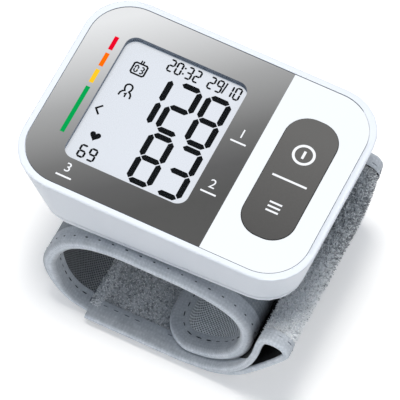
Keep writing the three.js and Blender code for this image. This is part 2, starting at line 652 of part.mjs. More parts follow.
const pumpTube = tube([[PUMP_X + PUMP_R + FIT, 0], [blockX0 - FIT, 0]]);
const valveTube = tube([[BLOCK_X, BLOCK_BACK + FIT], [BLOCK_X, VALVE_FRONT - FIT]]);
const sensorTurn = SENSOR_X - 0.8;
const sensorTube = tube([
  [blockX1 + FIT, sensorBarbY],
  [blockX1 + BARB_LENGTH + 0.3, sensorBarbY],
  [sensorTurn, sensorBarbY - 1.2],
  [SENSOR_X, sensorBarbY - SENSOR_BEND],
  [SENSOR_X, SENSOR_Y + SENSOR_R + FIT],
]);
const cuffTube = tube([
  [NOZZLE_X + NOZZLE_R + FIT, NOZZLE_Y],
  [NOZZLE_X + NOZZLE_R + BARB_LENGTH + 0.4, NOZZLE_Y],
  [BLOCK_X - 1.3, NOZZLE_Y + 2.6],
  [BLOCK_X, BLOCK_FRONT - BARB_LENGTH - 2],
  [BLOCK_X, BLOCK_FRONT - FIT],
]);

// Cuff: the outer face of the roll, as shares of its width and height, from the flap end to the seam.
const ROLL = [
  [0.703, 0.007], [0.82, 0.058], [0.913, 0.179], [0.974, 0.345], [1, 0.533], [0.992, 0.707],
  [0.941, 0.847], [0.85, 0.941], [0.703, 0.992], [0.507, 1], [0.327, 0.992], [0.188, 0.925],
  [0.088, 0.799], [0.028, 0.624], [0, 0.423], [0.015, 0.254], [0.062, 0.109], [0.131, -0.007],
].map(([u, v]) => [LOOP_LEFT + u * LOOP_WIDTH, FLAP_LOW + v * LOOP_HEIGHT]);
const rollPoints = [[FLAP_END, FLAP_LOW], ...ROLL, [SEAM_X, STRAP_TOP - STRAP_T]];

function beside(index, distance) {
  const [x, z] = rollPoints[index];
  const [x0, z0] = rollPoints[index - 1];
  const [x1, z1] = rollPoints[index + 1];
  const length = Math.hypot(x1 - x0, z1 - z0);
  return [x + distance * (z1 - z0) / length, z - distance * (x1 - x0) / length];
}

// Strap: the pile face of one band, from the seam under the flap, up the right side, over and back.
const twoLayers = 2 * STRAP_T + STRAP_GAP;
const standoffs = [0.1, 0.2, 0.5, 1.3].map((more, i) => [i + 2, FIT + more]);
const bandX = rollPoints[5][0] + FOLD_STANDOFF;
const foldZ = FACE_Z - FOLD_DROP;
const foldOuter = STRAP_T + FOLD_R;
const foldArc = [0, 1, 2, 3, 4].map((i) => {
  const angle = Math.PI * (1 - i / 4);
  return [bandX + foldOuter + foldOuter * Math.cos(angle), foldZ + foldOuter * Math.sin(angle)];
});
const flatEnd = rollPoints[1][0] - 2;
const flatRun = 4;
const foldPoints = [
  [flatEnd - flatRun, STRAP_TOP],
  [flatEnd, STRAP_TOP],
  ...standoffs.map(([index, gap]) => beside(index, gap)),
  ...foldArc,
  [bandX + 2 * foldOuter - FOLD_DRAW, foldZ - FOLD_FALL],
  ...standoffs.slice(0, 3).reverse().map(([index, gap]) => beside(index, gap + twoLayers)),
  [flatEnd, 0],
  [flatEnd - flatRun, 0],
];

// A smooth line through the points, with a few steps between each two; then its left-hand normals.
function smoothed(points, stepsBetween) {
  const knots = points.map(([x, z]) => new THREE.Vector3(x, 0, z));
  const curve = new THREE.CatmullRomCurve3(knots, false, 'centripetal');
  const spans = points.length - 1;
  const line = [];
  for (let i = 0; i <= spans * stepsBetween; i += 1) {
    const p = curve.getPoint(i / (spans * stepsBetween));
    line.push([p.x, p.z]);
  }
  return line;
}

function sampled(line) {
  const lengths = [0];
  for (let i = 1; i < line.length; i += 1) {
    const step = Math.hypot(line[i][0] - line[i - 1][0], line[i][1] - line[i - 1][1]);
    lengths.push(lengths[i - 1] + step);
  }
  return line.map(([x, z], i) => {
    const [x0, z0] = line[Math.max(i - 1, 0)];
    const [x1, z1] = line[Math.min(i + 1, line.length - 1)];
    const length = Math.hypot(x1 - x0, z1 - z0);
    return { x, z, nx: (z0 - z1) / length, nz: (x1 - x0) / length, s: lengths[i] / lengths.at(-1) };
  });
}

function ribbon(list, from, to, y0, y1) {
  const positions = [];
  const index = [];
  const sides = [[0, 1, 4, 5], [3, 2, 7, 6], [2, 0, 6, 4], [1, 3, 5, 7]];
  list.forEach((p, i) => {
    const lean = p.lean || 0;
    const splay = (p.splay || 0) / CUFF_HALF;
    for (const depth of [from(p.s), to(p.s)]) {
      const x = p.x + p.nx * depth;
      const z = p.z + p.nz * depth;
      positions.push(x - splay * y0, y0 + lean, z, x - splay * y1, y1 + lean, z);
    }
    if (i > 0) {
      for (const side of sides) {
        const [a, b, c, d] = side.map((corner) => 4 * (i - 1) + corner);
        index.push(a, c, b, b, c, d);
      }
    }
  });
  const end = 4 * (list.length - 1);
  index.push(0, 1, 2, 2, 1, 3, end, end + 2, end + 1, end + 1, end + 2, end + 3);
  const geometry = new THREE.BufferGeometry();
  geometry.setAttribute('position', new THREE.Float32BufferAttribute(positions, 3));
  geometry.setIndex(from(0) > to(0) ? index : index.reverse());
  return solidOf(geometry);
}

const roll = sampled(smoothed(rollPoints, 3));
const between = (list, s0, s1) => list.filter((p) => p.s >= s0 - 1e-9 && p.s <= s1 + 1e-9);
const cuffDepth = (s) => THREE.MathUtils.lerp(CUFF_T, STRAP_T, THREE.MathUtils.smoothstep(s, 0.86, 0.98));

// The flap end is rounded in plan; this is all the room that the cuff takes, less a margin.
function cuffRoom(margin) {
  const half = CUFF_HALF - margin;
  const far = CASE_LENGTH;
  const flapTop = FLAP_LOW + LOOP_HEIGHT / 3;
  return joined([
    block(-far, far, -half, half, flapTop, FACE_Z),
    block(-far, FLAP_END - 2, -half, half, -far, flapTop + 1),
    plate(FLAP_END + margin, far, -half, half, FLAP_R - margin * 0.8, -far, flapTop + 1),
  ]);
}

const layerRoom = cuffRoom(BINDING + FIT);
const coverLow = COVER_T + LAYER_GAP;
const stiffenerLow = coverLow + STIFFENER_T + LAYER_GAP;
const bladderLow = stiffenerLow + BLADDER_T + LAYER_GAP;
const rivetHoles = RIVETS.map(([x, y]) => rod('z', RIVET_R + FIT, LOOP_TOP - CUFF_T, FACE_Z, x, y, 14));
const nozzleTop = FACE_Z - CASE_DEPTH + NOZZLE_ROOM;
const nozzleHole = rod('z', NOZZLE_R + FIT, LOOP_TOP - CUFF_T, nozzleTop, NOZZLE_X, NOZZLE_Y, 18);
const rivetTop = PAD_LOW + FLOOR + 0.8;
const rivets = RIVETS.map(
  ([x, y]) => rod('z', RIVET_R, LOOP_TOP - coverLow - STIFFENER_T * 0.7, rivetTop, x, y, 14),
);
const cuffWhole = ribbon(roll, () => 0, cuffDepth, -CUFF_HALF, CUFF_HALF).intersect(cuffRoom(0));
const cuffBinding = cuffWhole.subtract(cuffRoom(BINDING));
const cuffCover = cut(
  ribbon(roll, () => 0, () => COVER_T, -CUFF_HALF, CUFF_HALF).intersect(layerRoom),
  [...rivetHoles, nozzleHole],
);
const stiffenerList = between(roll, 0, 0.84);
const cuffStiffener = joined([
  ribbon(stiffenerList, () => coverLow, () => coverLow + STIFFENER_T, -CUFF_HALF, CUFF_HALF)
    .intersect(cuffRoom(BINDING + 2 * FIT))
    .subtract(nozzleHole),
  ...rivets,
]);
const bladderList = between(roll, 0, 0.8);
const airBladder = ribbon(
  bladderList, () => stiffenerLow, () => stiffenerLow + BLADDER_T, -CUFF_HALF, CUFF_HALF,
).intersect(cuffRoom(BINDING + 2));
const liningFrom = (s) => cuffDepth(s) - LINING_T;
const cuffLining = ribbon(roll, liningFrom, cuffDepth, -CUFF_HALF, CUFF_HALF).intersect(layerRoom);
const nozzleLow = LOOP_TOP - stiffenerLow + LAYER_GAP;
const cuffNozzle = joined([
  rod('z', NOZZLE_R, nozzleLow - 0.1, AIR_Z + NOZZLE_R - 0.3, NOZZLE_X, NOZZLE_Y, 18),
  rod('x', BARB_R, NOZZLE_X, NOZZLE_X + NOZZLE_R + BARB_LENGTH, NOZZLE_Y, AIR_Z, 12),
]);

// Strap: one band that sits a little forward of the cuff, runs under the flap, up and over the fold,
// which opens towards the front, and comes back below itself at a slight slant.
// Its last stretch is a bare tab that hinges down from the rest.
const tabStart = TAIL_END + TAB_LENGTH;
const strapLine = [
  [SEAM_X + 3 * FIT, STRAP_TOP],
  [SEAM_X + BINDING, STRAP_TOP],
  ...smoothed(foldPoints, FOLD_STEPS).slice(FOLD_STEPS, -FOLD_STEPS),
  [tabStart, 0],
  [tabStart - FIT, 0],
  [TAIL_END, 0],
];
const strapList = sampled(strapLine);
const strapReach = Math.max(...strapList.map((p) => p.x));
const turnAt = strapList.findIndex((p) => p.x === strapReach);
strapList.forEach((p, i) => {
  p.lean = (i > turnAt ? TAIL_SKEW * (strapReach - p.x) : 0) - STRAP_FORWARD;
  p.splay = FOLD_SPLAY * THREE.MathUtils.smoothstep(p.z, foldZ / 2, foldZ);
});
console.log('tab hinges about', (tabStart - FIT / 2).toFixed(2), 'key tips about', KEY_Y, PIVOT_Z.toFixed(2));
const skin = () => 0;
const back = () => -STRAP_T;
const bodyHalf = CUFF_HALF - BINDING - FIT;
const bandList = strapList.slice(0, -2);
const tabList = strapList.slice(-2);
const hookX0 = tabStart + 2;
const hookX1 = hookX0 + HOOK_LENGTH;
const hookFloor = STRAP_T - HOOK_T;
const hookRoom = HOOK_HALF + FIT;
const hookTop = STRAP_T + STRAP_GAP / 2;
const hookPocket = block(hookX0 - FIT, hookX1 + FIT, -hookRoom, hookRoom, hookFloor, hookTop);
const hookPad = block(hookX0, hookX1, -HOOK_HALF, HOOK_HALF, hookFloor + FIT / 2, STRAP_T);
const strapBody = ribbon(bandList, skin, back, -bodyHalf, bodyHalf).subtract(hookPocket);
const strapEdgeFront = ribbon(bandList, skin, back, -CUFF_HALF, BINDING - CUFF_HALF);
const strapEdgeRear = ribbon(bandList, skin, back, CUFF_HALF - BINDING, CUFF_HALF);
const pullTab = ribbon(tabList, skin, back, -CUFF_HALF, CUFF_HALF);
const hookOuter = () => -LAYER_GAP - HOOK_T;
const hookInner = () => -LAYER_GAP;
const flapHook = ribbon(between(roll, 0.225, 0.28), hookOuter, hookInner, -HOOK_HALF, HOOK_HALF);

// Rear cover: dish, pad, belly, cell compartment, lip inside the walls, and posts for the case screws.
const dish = loft([
  caseRing(0, (drop) => drop - DISH_HEIGHT),
  caseRing(0, (drop) => drop - DISH_EDGE),
  caseRing(DISH_EDGE * 0.3, (drop) => drop - DISH_EDGE * 0.3),
  caseRing(DISH_EDGE, (drop) => drop),
]);
const dishRoom = loft([
  caseRing(WALL, (drop) => drop - DISH_HEIGHT - 1),
  caseRing(WALL, (drop) => drop - FLOOR),
]);
const lipOuter = loft([
  caseRing(WALL + FIT, (drop) => drop - DISH_HEIGHT - LIP_HEIGHT),
  caseRing(WALL + FIT, (drop) => drop - FLOOR / 2),
]);
const lipInner = loft([
  caseRing(WALL + FIT + LIP_WALL, (drop) => drop - DISH_HEIGHT - LIP_HEIGHT - 1),
  caseRing(WALL + FIT + LIP_WALL, (drop) => drop - FLOOR),
]);
const compartmentRight = cellTwoX + CELL_R + 2 * FIT;
const compartmentOut = COMPARTMENT_HALF + COMPARTMENT_WALL;
const compartmentTop = LCD_LOW - CELL_ROOM;
const bellyLow = CELL_FLOOR - BELLY_WALL;
const bellyLeft = CELL_X - CELL_R + 1.5;
const compartmentEnd = compartmentRight + COMPARTMENT_WALL;
const footprint = loft([
  caseRing(WALL + FIT, () => FACE_Z - SHELF_LOW),
  caseRing(WALL + FIT, (drop) => drop + DISH_HEIGHT),
]);
const bellyRight = cellTwoX + CELL_R * 0.61 + BELLY_WALL;
const bellyBlock = block(bellyLeft, bellyRight, -compartmentOut, compartmentOut, bellyLow, CELL_FLOOR + FIT);
const belly = bellyBlock.intersect(footprint);
const tubWalls = block(
  CELL_X - 2, compartmentEnd, -compartmentOut, compartmentOut, CELL_FLOOR, compartmentTop,
);
const tubLeft = CELL_X - CELL_R + 2.2;
const tubRoom = joined([
  block(tubLeft, bellyRight - BELLY_WALL, -COMPARTMENT_HALF, COMPARTMENT_HALF, CELL_FLOOR, FACE_Z),
  block(tubLeft, compartmentRight, -COMPARTMENT_HALF, COMPARTMENT_HALF, PAD_LOW + FLOOR, FACE_Z),
]);
const pad = block(PAD_LEFT, PAD_RIGHT, -PAD_HALF, PAD_HALF, PAD_LOW, PAD_LOW + FLOOR + 2);
const padRoom = block(
  compartmentEnd, PAD_RIGHT - FLOOR, FLOOR - PAD_HALF, PAD_HALF - FLOOR, PAD_LOW + FLOOR, FACE_Z,
);
const postTop = bossLow - FIT;
const headTop = (x) => FACE_Z - undersideDrop(x) + HEAD_SINK + HEAD_T;
const posts = SCREWS.map(([x, y]) => rod('z', POST_R, headTop(x) - 1, postTop, x, y));
const shankHoles = SCREWS.map(([x, y]) => rod('z', SHANK_R + FIT, 0, FACE_Z, x, y, 14));
const headHoles = SCREWS.map(([x, y]) => rod('z', HEAD_R + FIT, 0, headTop(x) + FIT, x, y));
const lipGaps = SCREWS.map(([x, y]) => rod('z', BOSS_R + FIT, postTop, FACE_Z, x, y));
const lip = cut(
  lipOuter.subtract(lipInner),
  [block(-CASE_LENGTH, CELL_X, -compartmentOut, compartmentOut, 0, FACE_Z), ...lipGaps],
);
const rearCover = cut(
  joined([
    dish.subtract(dishRoom),
    lip,
    belly,
    tubWalls.subtract(tubRoom).intersect(footprint),
    pad,
    ...posts.map((post) => post.intersect(footprint.add(dish))),
  ]),
  [tubRoom, padRoom.subtract(joined(posts)), nozzleHole, ...rivetHoles, ...shankHoles, ...headHoles],
);
const screws = SCREWS.map(([x, y]) => {
  const top = headTop(x);
  const shank = rod('z', SHANK_R, top - HEAD_T / 2, bossLow + SCREW_GRIP, x, y, 12);
  return rod('z', HEAD_R, top - HEAD_T, top, x, y).add(shank);
});

// Every piece with its name, colour, roughness and metalness.
const PIECES = [
  ['upper_case', upperCase, '#e9ebee', 0.45, 0],
  ['rear_cover', rearCover, '#dfe1e4', 0.5, 0],
  ['battery_door', batteryDoor, '#e9ebee', 0.45, 0],
  ['face_panel', facePanel, '#a5a29e', 0.25, 0],
  ['display_window', displayWindow, '#dfe6ee', 0.05, 0],
  ['lcd_glass', lcdGlass, '#dfe4ee', 0.15, 0],
  ['lcd_frame', lcdFrame, '#f0f0ee', 0.6, 0],
  ['rocker_key', rockerKey, '#5e5c59', 0.6, 0],
  ['main_board', board, '#2f6b46', 0.55, 0],
  ['contact_strip_front', stripFront, '#c9a3b0', 0.8, 0],
  ['contact_strip_rear', stripRear, '#c9a3b0', 0.8, 0],
  ['controller_chip', controllerChip, '#26272a', 0.5, 0],
  ['buzzer', buzzer, '#1f2022', 0.55, 0],
  ['capacitor', capacitor, '#3a4a6b', 0.4, 0],
  ['pressure_sensor', pressureSensor, '#d9d5c9', 0.5, 0],
  ['start_switch', switchBody(KEY_Y + FOOT_ARM), '#2b2c2e', 0.5, 0],
  ['memory_switch', switchBody(KEY_Y - FOOT_ARM), '#2b2c2e', 0.5, 0],
  ['start_plunger', plunger(KEY_Y + FOOT_ARM), '#d8d2c4', 0.5, 0],
  ['memory_plunger', plunger(KEY_Y - FOOT_ARM), '#d8d2c4', 0.5, 0],
  ['pump_motor', pumpMotor, '#b9bcc0', 0.3, 0.9],
  ['pump_head', pumpHead, '#dcdcd8', 0.55, 0],
  ['air_block', airBlock, '#e4e3dd', 0.55, 0],
  ['air_valve', airValve, '#3c3f45', 0.5, 0],
  ['pump_tube', pumpTube, '#c9cdd2', 0.4, 0],
  ['valve_tube', valveTube, '#c9cdd2', 0.4, 0],
  ['sensor_tube', sensorTube, '#c9cdd2', 0.4, 0],
  ['cuff_tube', cuffTube, '#c9cdd2', 0.4, 0],
  ['cuff_nozzle', cuffNozzle, '#d4d6d9', 0.5, 0],
  ['battery_cell_1', cellOne, '#4d6f8f', 0.35, 0.6],
  ['battery_cell_2', cellTwo, '#4d6f8f', 0.35, 0.6],
  ['spring_contact', springContact, '#c4c4c0', 0.3, 1],
  ['plate_contact', plateContact, '#c4c4c0', 0.3, 1],
  ['bridge_contact', bridgeContact, '#c4c4c0', 0.3, 1],
  ...screws.map((screw, i) => [`case_screw_${i + 1}`, screw, '#8d9095', 0.35, 1]),
  ['cuff_cover', cuffCover, '#7d8184', 0.95, 0],
  ['cuff_stiffener', cuffStiffener, '#c9ccd0', 0.6, 0],
  ['air_bladder', airBladder, '#9aa3ab', 0.5, 0],
  ['cuff_lining', cuffLining, '#6d7276', 0.95, 0],
  ['cuff_binding', cuffBinding, '#aeb4bb', 0.9, 0],
  ['flap_hook_pad', flapHook, '#1d1e20', 0.9, 0],
  ['strap_body', strapBody, '#8b9092', 1, 0],
  ['strap_binding_front', strapEdgeFront, '#aeb4bb', 0.9, 0],
  ['strap_binding_rear', strapEdgeRear, '#aeb4bb', 0.9, 0],
  ['pull_tab', pullTab, '#aeb4bb', 0.9, 0],
  ['tail_hook_pad', hookPad, '#1d1e20', 0.9, 0],
];

const assembly = new THREE.Group();
for (const [name, solid, color, roughness, metalness] of PIECES) {
  const material = new THREE.MeshStandardMaterial({ color, roughness, metalness });
  const mesh = new THREE.Mesh(geometryOf(solid), material);
  mesh.name = name;
  assembly.add(mesh);
}

export default assembly;
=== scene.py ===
import math

import bmesh
import bpy
import numpy as np
from mathutils import Matrix, Vector


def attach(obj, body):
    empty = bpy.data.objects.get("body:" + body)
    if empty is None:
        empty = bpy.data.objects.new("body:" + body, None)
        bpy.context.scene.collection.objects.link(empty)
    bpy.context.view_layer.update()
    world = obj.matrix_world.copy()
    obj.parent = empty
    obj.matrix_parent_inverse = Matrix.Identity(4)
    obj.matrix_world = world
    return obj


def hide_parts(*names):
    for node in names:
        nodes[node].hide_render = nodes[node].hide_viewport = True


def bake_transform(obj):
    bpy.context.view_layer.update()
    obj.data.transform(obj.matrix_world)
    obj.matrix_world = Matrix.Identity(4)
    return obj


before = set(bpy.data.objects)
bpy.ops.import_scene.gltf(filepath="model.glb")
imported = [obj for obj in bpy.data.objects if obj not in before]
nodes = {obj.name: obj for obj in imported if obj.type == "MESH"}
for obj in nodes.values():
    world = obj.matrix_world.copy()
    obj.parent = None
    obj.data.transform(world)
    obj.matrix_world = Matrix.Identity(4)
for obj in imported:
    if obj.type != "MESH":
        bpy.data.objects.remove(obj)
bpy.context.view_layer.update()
scene = bpy.context.scene
scene.view_settings.view_transform = "Standard"


# The set: a sweep of matt white card that the monitor stands on, seen through a long lens from above its
# right front corner. A broad lamp hangs high at the left, a weaker one stands at the right, and pale walls
# fill the shadows.
def linear(code):
    parts = [int(code[i:i + 2], 16) / 255 for i in (1, 3, 5)]
    return tuple(p / 12.92 if p <= 0.04045 else ((p + 0.055) / 1.055) ** 2.4 for p in parts) + (1.0,)


def node(tree, kind, inputs=None, **settings):
    made = tree.nodes.new(kind)
    for name, value in settings.items():
        setattr(made, name, value)
    for key, value in (inputs or {}).items():
        if isinstance(value, bpy.types.NodeSocket):
            tree.links.new(value, made.inputs[key])
        else:
            made.inputs[key].default_value = value
    return made


def new_finish(name):
    material = bpy.data.materials.new(name)
    material.use_nodes = True
    material.node_tree.nodes.clear()
    return material, material.node_tree


def add_object(name, mesh):
    made = bpy.data.objects.new(name, mesh)
    scene.collection.objects.link(made)
    return made


card, tree = new_finish("matt_white_card")
path = node(tree, "ShaderNodeLightPath")
seen = node(tree, "ShaderNodeMath", {0: path.outputs["Is Camera Ray"], 1: path.outputs["Is Glossy Ray"]},
            operation="MAXIMUM")
seen = node(tree, "ShaderNodeMath", {0: seen.outputs[0], 1: path.outputs["Is Transmission Ray"]},
            operation="MAXIMUM")
lift = node(tree, "ShaderNodeMath", {0: seen.outputs[0], 1: 0.34}, operation="MULTIPLY")
matt = node(tree, "ShaderNodeBsdfDiffuse", {"Color": linear("#f6f4f1")})
glow = node(tree, "ShaderNodeEmission", {"Strength": lift.outputs[0]})
both = node(tree, "ShaderNodeAddShader", {0: matt.outputs[0], 1: glow.outputs[0]})
node(tree, "ShaderNodeOutputMaterial", {"Surface": both.outputs[0]})
FLOOR_REACH, FLOOR_Z = 4.0, -0.0003
sweep = bpy.data.meshes.new("floor")
floor_corners = [(FLOOR_REACH * x, FLOOR_REACH * y, FLOOR_Z) for x, y in ((-1, -1), (1, -1), (1, 1), (-1, 1))]
sweep.from_pydata(floor_corners, [], [(0, 1, 2, 3)])
sweep.materials.append(card)
floor = add_object("floor", sweep)

world = bpy.data.worlds.new("studio_walls")
scene.world = world
world.use_nodes = True
tree = world.node_tree
tree.nodes.clear()
path = node(tree, "ShaderNodeLightPath")
walls = node(tree, "ShaderNodeBackground", {"Color": linear("#dfebfd"), "Strength": 0.36})
white = node(tree, "ShaderNodeBackground", {"Color": (1, 1, 1, 1), "Strength": 1.0})
pick = node(tree, "ShaderNodeMixShader", {
    0: path.outputs["Is Camera Ray"], 1: walls.outputs[0], 2: white.outputs[0]})
node(tree, "ShaderNodeOutputWorld", {"Surface": pick.outputs[0]})

LAMP_AIM = Vector((0, 0, 0.03))
for name, place, size, power, tint in (
    ("lamp_high", (-0.07, 0.05, 1.00), 0.32, 7.2, "#fffefc"),
    ("lamp_right", (0.75, -0.55, 0.55), 0.50, 1.0, "#fbfcff"),
):
    lamp = bpy.data.lights.new(name, "AREA")
    lamp.size = size
    lamp.energy = power
    lamp.color = linear(tint)[:3]
    stand = add_object(name, lamp)
    aim = LAMP_AIM - Vector(place)
    stand.matrix_world = Matrix.Translation(place) @ aim.to_track_quat("-Z", "Y").to_matrix().to_4x4()

# The camera's own axes and its place, worked out from the corners of the face panel.
right = Vector((0.8984, 0.4377, 0.0356))
up = Vector((-0.3973, 0.7759, 0.4900))
back = Vector((0.1869, -0.4544, 0.8710))
eye = Vector((0.2009, -0.4840, 0.9546))
lens = bpy.data.cameras.new("camera")
lens.sensor_width = 36.0
lens.lens = 360.0
lens.clip_end = 20.0
camera = add_object("camera", lens)
camera.matrix_world = Matrix((
    (right.x, up.x, back.x, eye.x),
    (right.y, up.y, back.y, eye.y),
    (right.z, up.z, back.z, eye.z),
    (0, 0, 0, 1),
))
scene.camera = camera


# Works inside the case: board, chips, switches, pump, valve, tubes, cells and contacts. They are bought parts
# of plain moulded resin, glass fibre, steel and silicone, and show only when the battery door is off.
def plain_finish(name, code, dark, roughness, metallic, grain_mm, depth):
    material, tree = new_finish(name)
    place = node(tree, "ShaderNodeTexCoord")
    grain = node(tree, "ShaderNodeTexNoise",
                 {"Vector": place.outputs["Object"], "Scale": 1000 / grain_mm, "Detail": 3.0})
    tone = node(tree, "ShaderNodeMix", {0: grain.outputs["Fac"], 6: linear(dark), 7: linear(code)},
                data_type="RGBA")
    relief = node(tree, "ShaderNodeBump",
                  {"Height": grain.outputs["Fac"], "Distance": depth, "Strength": 0.4})
    skin = node(tree, "ShaderNodeBsdfPrincipled", {
        "Base Color": tone.outputs[2], "Roughness": roughness, "Metallic": metallic,
        "Normal": relief.outputs[0]})
    node(tree, "ShaderNodeOutputMaterial", {"Surface": skin.outputs[0]})
    return material


# Each finish has a colour, a darker fleck, roughness, metallic, its grain in mm and the depth of the grain.
for finish, names in (
    (plain_finish("glass_fibre_board", "#2f6b41", "#255836", 0.4, 0.0, 1.2, 2e-5), ["main_board"]),
    (plain_finish("moulded_black_epoxy", "#26272a", "#1b1c1e", 0.55, 0.0, 0.6, 2e-5),
     ["controller_chip", "buzzer", "capacitor", "start_switch", "memory_switch", "air_valve"]),
    (plain_finish("moulded_inner_resin", "#eceae4", "#e0ded7", 0.5, 0.0, 1.5, 2e-5),
     ["lcd_frame", "pressure_sensor", "start_plunger", "memory_plunger", "pump_head", "air_block",
      "cuff_nozzle"]),
    (plain_finish("layered_silicone_strip", "#cfa1ab", "#b98791", 0.6, 0.0, 0.8, 2e-5),
     ["contact_strip_front", "contact_strip_rear"]),
    (plain_finish("nickelled_steel", "#c9cacb", "#b4b6b8", 0.28, 1.0, 0.5, 1e-5),
     ["pump_motor", "spring_contact", "plate_contact", "bridge_contact", "case_screw_1", "case_screw_2",
      "case_screw_3", "case_screw_4"]),
    (plain_finish("silicone_tube", "#cfd4d8", "#c2c8cd", 0.45, 0.0, 2.0, 2e-5),
     ["pump_tube", "valve_tube", "sensor_tube", "cuff_tube"]),
    (plain_finish("printed_cell_jacket", "#42618c", "#38547b", 0.35, 0.3, 3.0, 1e-5),
     ["battery_cell_1", "battery_cell_2"]),
    (plain_finish("rolled_polypropylene", "#cdd2d7", "#c0c6cc", 0.5, 0.0, 2.0, 2e-5), ["cuff_stiffener"]),
):
    for name in names:
        nodes[name].data.materials.clear()
        nodes[name].data.materials.append(finish)


# Case: upper shell, rear cover and battery door, injection moulded in white ABS with a fine satin spark
# finish. The edges that are touched have a small moulded radius.
def refined(name, radius, corner=30):
    mesh = nodes[name].data.copy()
    work = bmesh.new()
    work.from_mesh(mesh)
    bmesh.ops.remove_doubles(work, verts=work.verts, dist=2e-6)
    bmesh.ops.dissolve_limit(work, angle_limit=math.radians(0.5), verts=work.verts, edges=work.edges)
    work.to_mesh(mesh)
    work.free()
    mesh.name = name + "_skin"
    made = add_object(name + "_skin", mesh)
    if radius:
        edge = made.modifiers.new("edge", "BEVEL")
        edge.width = radius
        edge.segments = 3
        edge.limit_method = "ANGLE"
        edge.angle_limit = math.radians(corner + 10)
    even = made.modifiers.new("even", "WEIGHTED_NORMAL")
    even.keep_sharp = True
    mesh.polygons.foreach_set("use_smooth", [True] * len(mesh.polygons))
    mesh.set_sharp_from_angle(angle=math.radians(corner))
    settled(made)
    return made


def settled(made):
    shape = bpy.data.meshes.new_from_object(made.evaluated_get(bpy.context.evaluated_depsgraph_get()))
    made.modifiers.clear()
    made.data = shape


def dress(made, finish, body, slot, *stands_for):
    if made.data.materials:
        made.data.materials.clear()
    made.data.materials.append(finish)
    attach(made, body)
    if stands_for:
        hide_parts(*stands_for)


# ABS with a spark-eroded skin: a soft sheen and the faintest cool mottle. The true grit of 0.1 mm is drawn
# at 0.5 mm so that it shows at all.
abs_white, tree = new_finish("moulded_white_abs")
place = node(tree, "ShaderNodeTexCoord")
grit = node(tree, "ShaderNodeTexNoise", {"Vector": place.outputs["Object"], "Scale": 2000.0, "Detail": 2.0})
cloud = node(tree, "ShaderNodeTexNoise", {"Vector": place.outputs["Object"], "Scale": 60.0, "Detail": 2.0})
tone = node(tree, "ShaderNodeMix", {0: cloud.outputs["Fac"], 6: linear("#e7ebf1"), 7: linear("#eff3f7")},
            data_type="RGBA")
relief = node(tree, "ShaderNodeBump", {"Height": grit.outputs["Fac"], "Distance": 1.5e-5, "Strength": 0.35})
skin = node(tree, "ShaderNodeBsdfPrincipled", {
    "Base Color": tone.outputs[2], "Roughness": 0.42, "IOR": 1.53, "Normal": relief.outputs[0]})
node(tree, "ShaderNodeOutputMaterial", {"Surface": skin.outputs[0]})
dress(refined("upper_case", 0.0), abs_white, "case", "shell_white", "upper_case")
dress(refined("rear_cover", 0.0), abs_white, "case", "shell_white", "rear_cover")
dress(refined("battery_door", 0.0), abs_white, "door", "shell_white", "battery_door")


# Face panel: a clear polycarbonate sheet printed from behind, grey fading to silver on the display side and
# white on the key side, glued into the rim. Its cut edges are painted dark, as painted shade.
PANEL_TOP = 0.0583
printed, tree = new_finish("back_printed_polycarbonate")
place = node(tree, "ShaderNodeTexCoord")
spot = node(tree, "ShaderNodeSeparateXYZ", {0: place.outputs["Object"]})
# The fade runs from the front right to the back left corner, 58 mm from dark to light.
slide_x = node(tree, "ShaderNodeMath", {0: spot.outputs[0], 1: -0.648}, operation="MULTIPLY")
slide = node(tree, "ShaderNodeMath", {0: spot.outputs[1], 1: 0.762, 2: slide_x.outputs[0]},
             operation="MULTIPLY_ADD")
share = node(tree, "ShaderNodeMapRange", {0: slide.outputs[0], 1: -0.018, 2: 0.040})
fade = node(tree, "ShaderNodeValToRGB", {0: share.outputs[0]})
for stop, code in ((0.15, "#555453"), (0.31, "#6c6b69"), (0.45, "#8a8987"), (0.59, "#9f9e9c"),
                   (0.80, "#c6c5c3")):
    fade.color_ramp.elements.new(stop).color = linear(code)
fade.color_ramp.elements[0].color = linear("#4a4947")
fade.color_ramp.elements[-1].color = linear("#e1e0de")
grain = node(tree, "ShaderNodeTexNoise", {"Vector": place.outputs["Object"], "Scale": 900.0, "Detail": 2.0})
key_side = node(tree, "ShaderNodeMath", {0: spot.outputs[0], 1: 0.0144}, operation="GREATER_THAN")
print_tone = node(tree, "ShaderNodeMix", {0: key_side.outputs[0], 6: fade.outputs[0], 7: linear("#f2f4f5")},
                  data_type="RGBA")
facing = node(tree, "ShaderNodeNewGeometry")
upward = node(tree, "ShaderNodeSeparateXYZ", {0: facing.outputs["Normal"]})
# Painted shade: faces steeper than 60 degrees, the walls of the groove and the window, take a dark slate.
painted_shade_edge = node(tree, "ShaderNodeMath", {0: upward.outputs[2], 1: 0.5}, operation="LESS_THAN")
tone = node(tree, "ShaderNodeMix", {0: painted_shade_edge.outputs[0], 6: print_tone.outputs[2], 7: linear("#6f7885")},
            data_type="RGBA")
rough = node(tree, "ShaderNodeMapRange", {0: grain.outputs["Fac"], 3: 0.30, 4: 0.38})
skin = node(tree, "ShaderNodeBsdfPrincipled", {
    "Base Color": tone.outputs[2], "Roughness": rough.outputs[0], "IOR": 1.58,
    "Specular IOR Level": 0.2})
node(tree, "ShaderNodeOutputMaterial", {"Surface": skin.outputs[0]})


# The sheet is cut to fill its bed, its key hole stands close to the key with a hairline between, and its
# window is cut a little wide of the glass that shows.
def moved_outline(made, low, high, r, grow):
    count = len(made.data.vertices)
    flat = np.empty(3 * count)
    made.data.vertices.foreach_get("co", flat)
    spots = flat.reshape(count, 3)
    heart = np.clip(spots[:, :2], np.array(low) + r, np.array(high) - r)
    reach = spots[:, :2] - heart
    span = np.linalg.norm(reach, axis=1)
    outer = np.abs(span - r) < 5e-5
    spots[outer, :2] = heart[outer] + reach[outer] * ((r + grow) / span[outer])[:, None]
    made.data.vertices.foreach_set("co", spots.ravel())
    made.data.update()


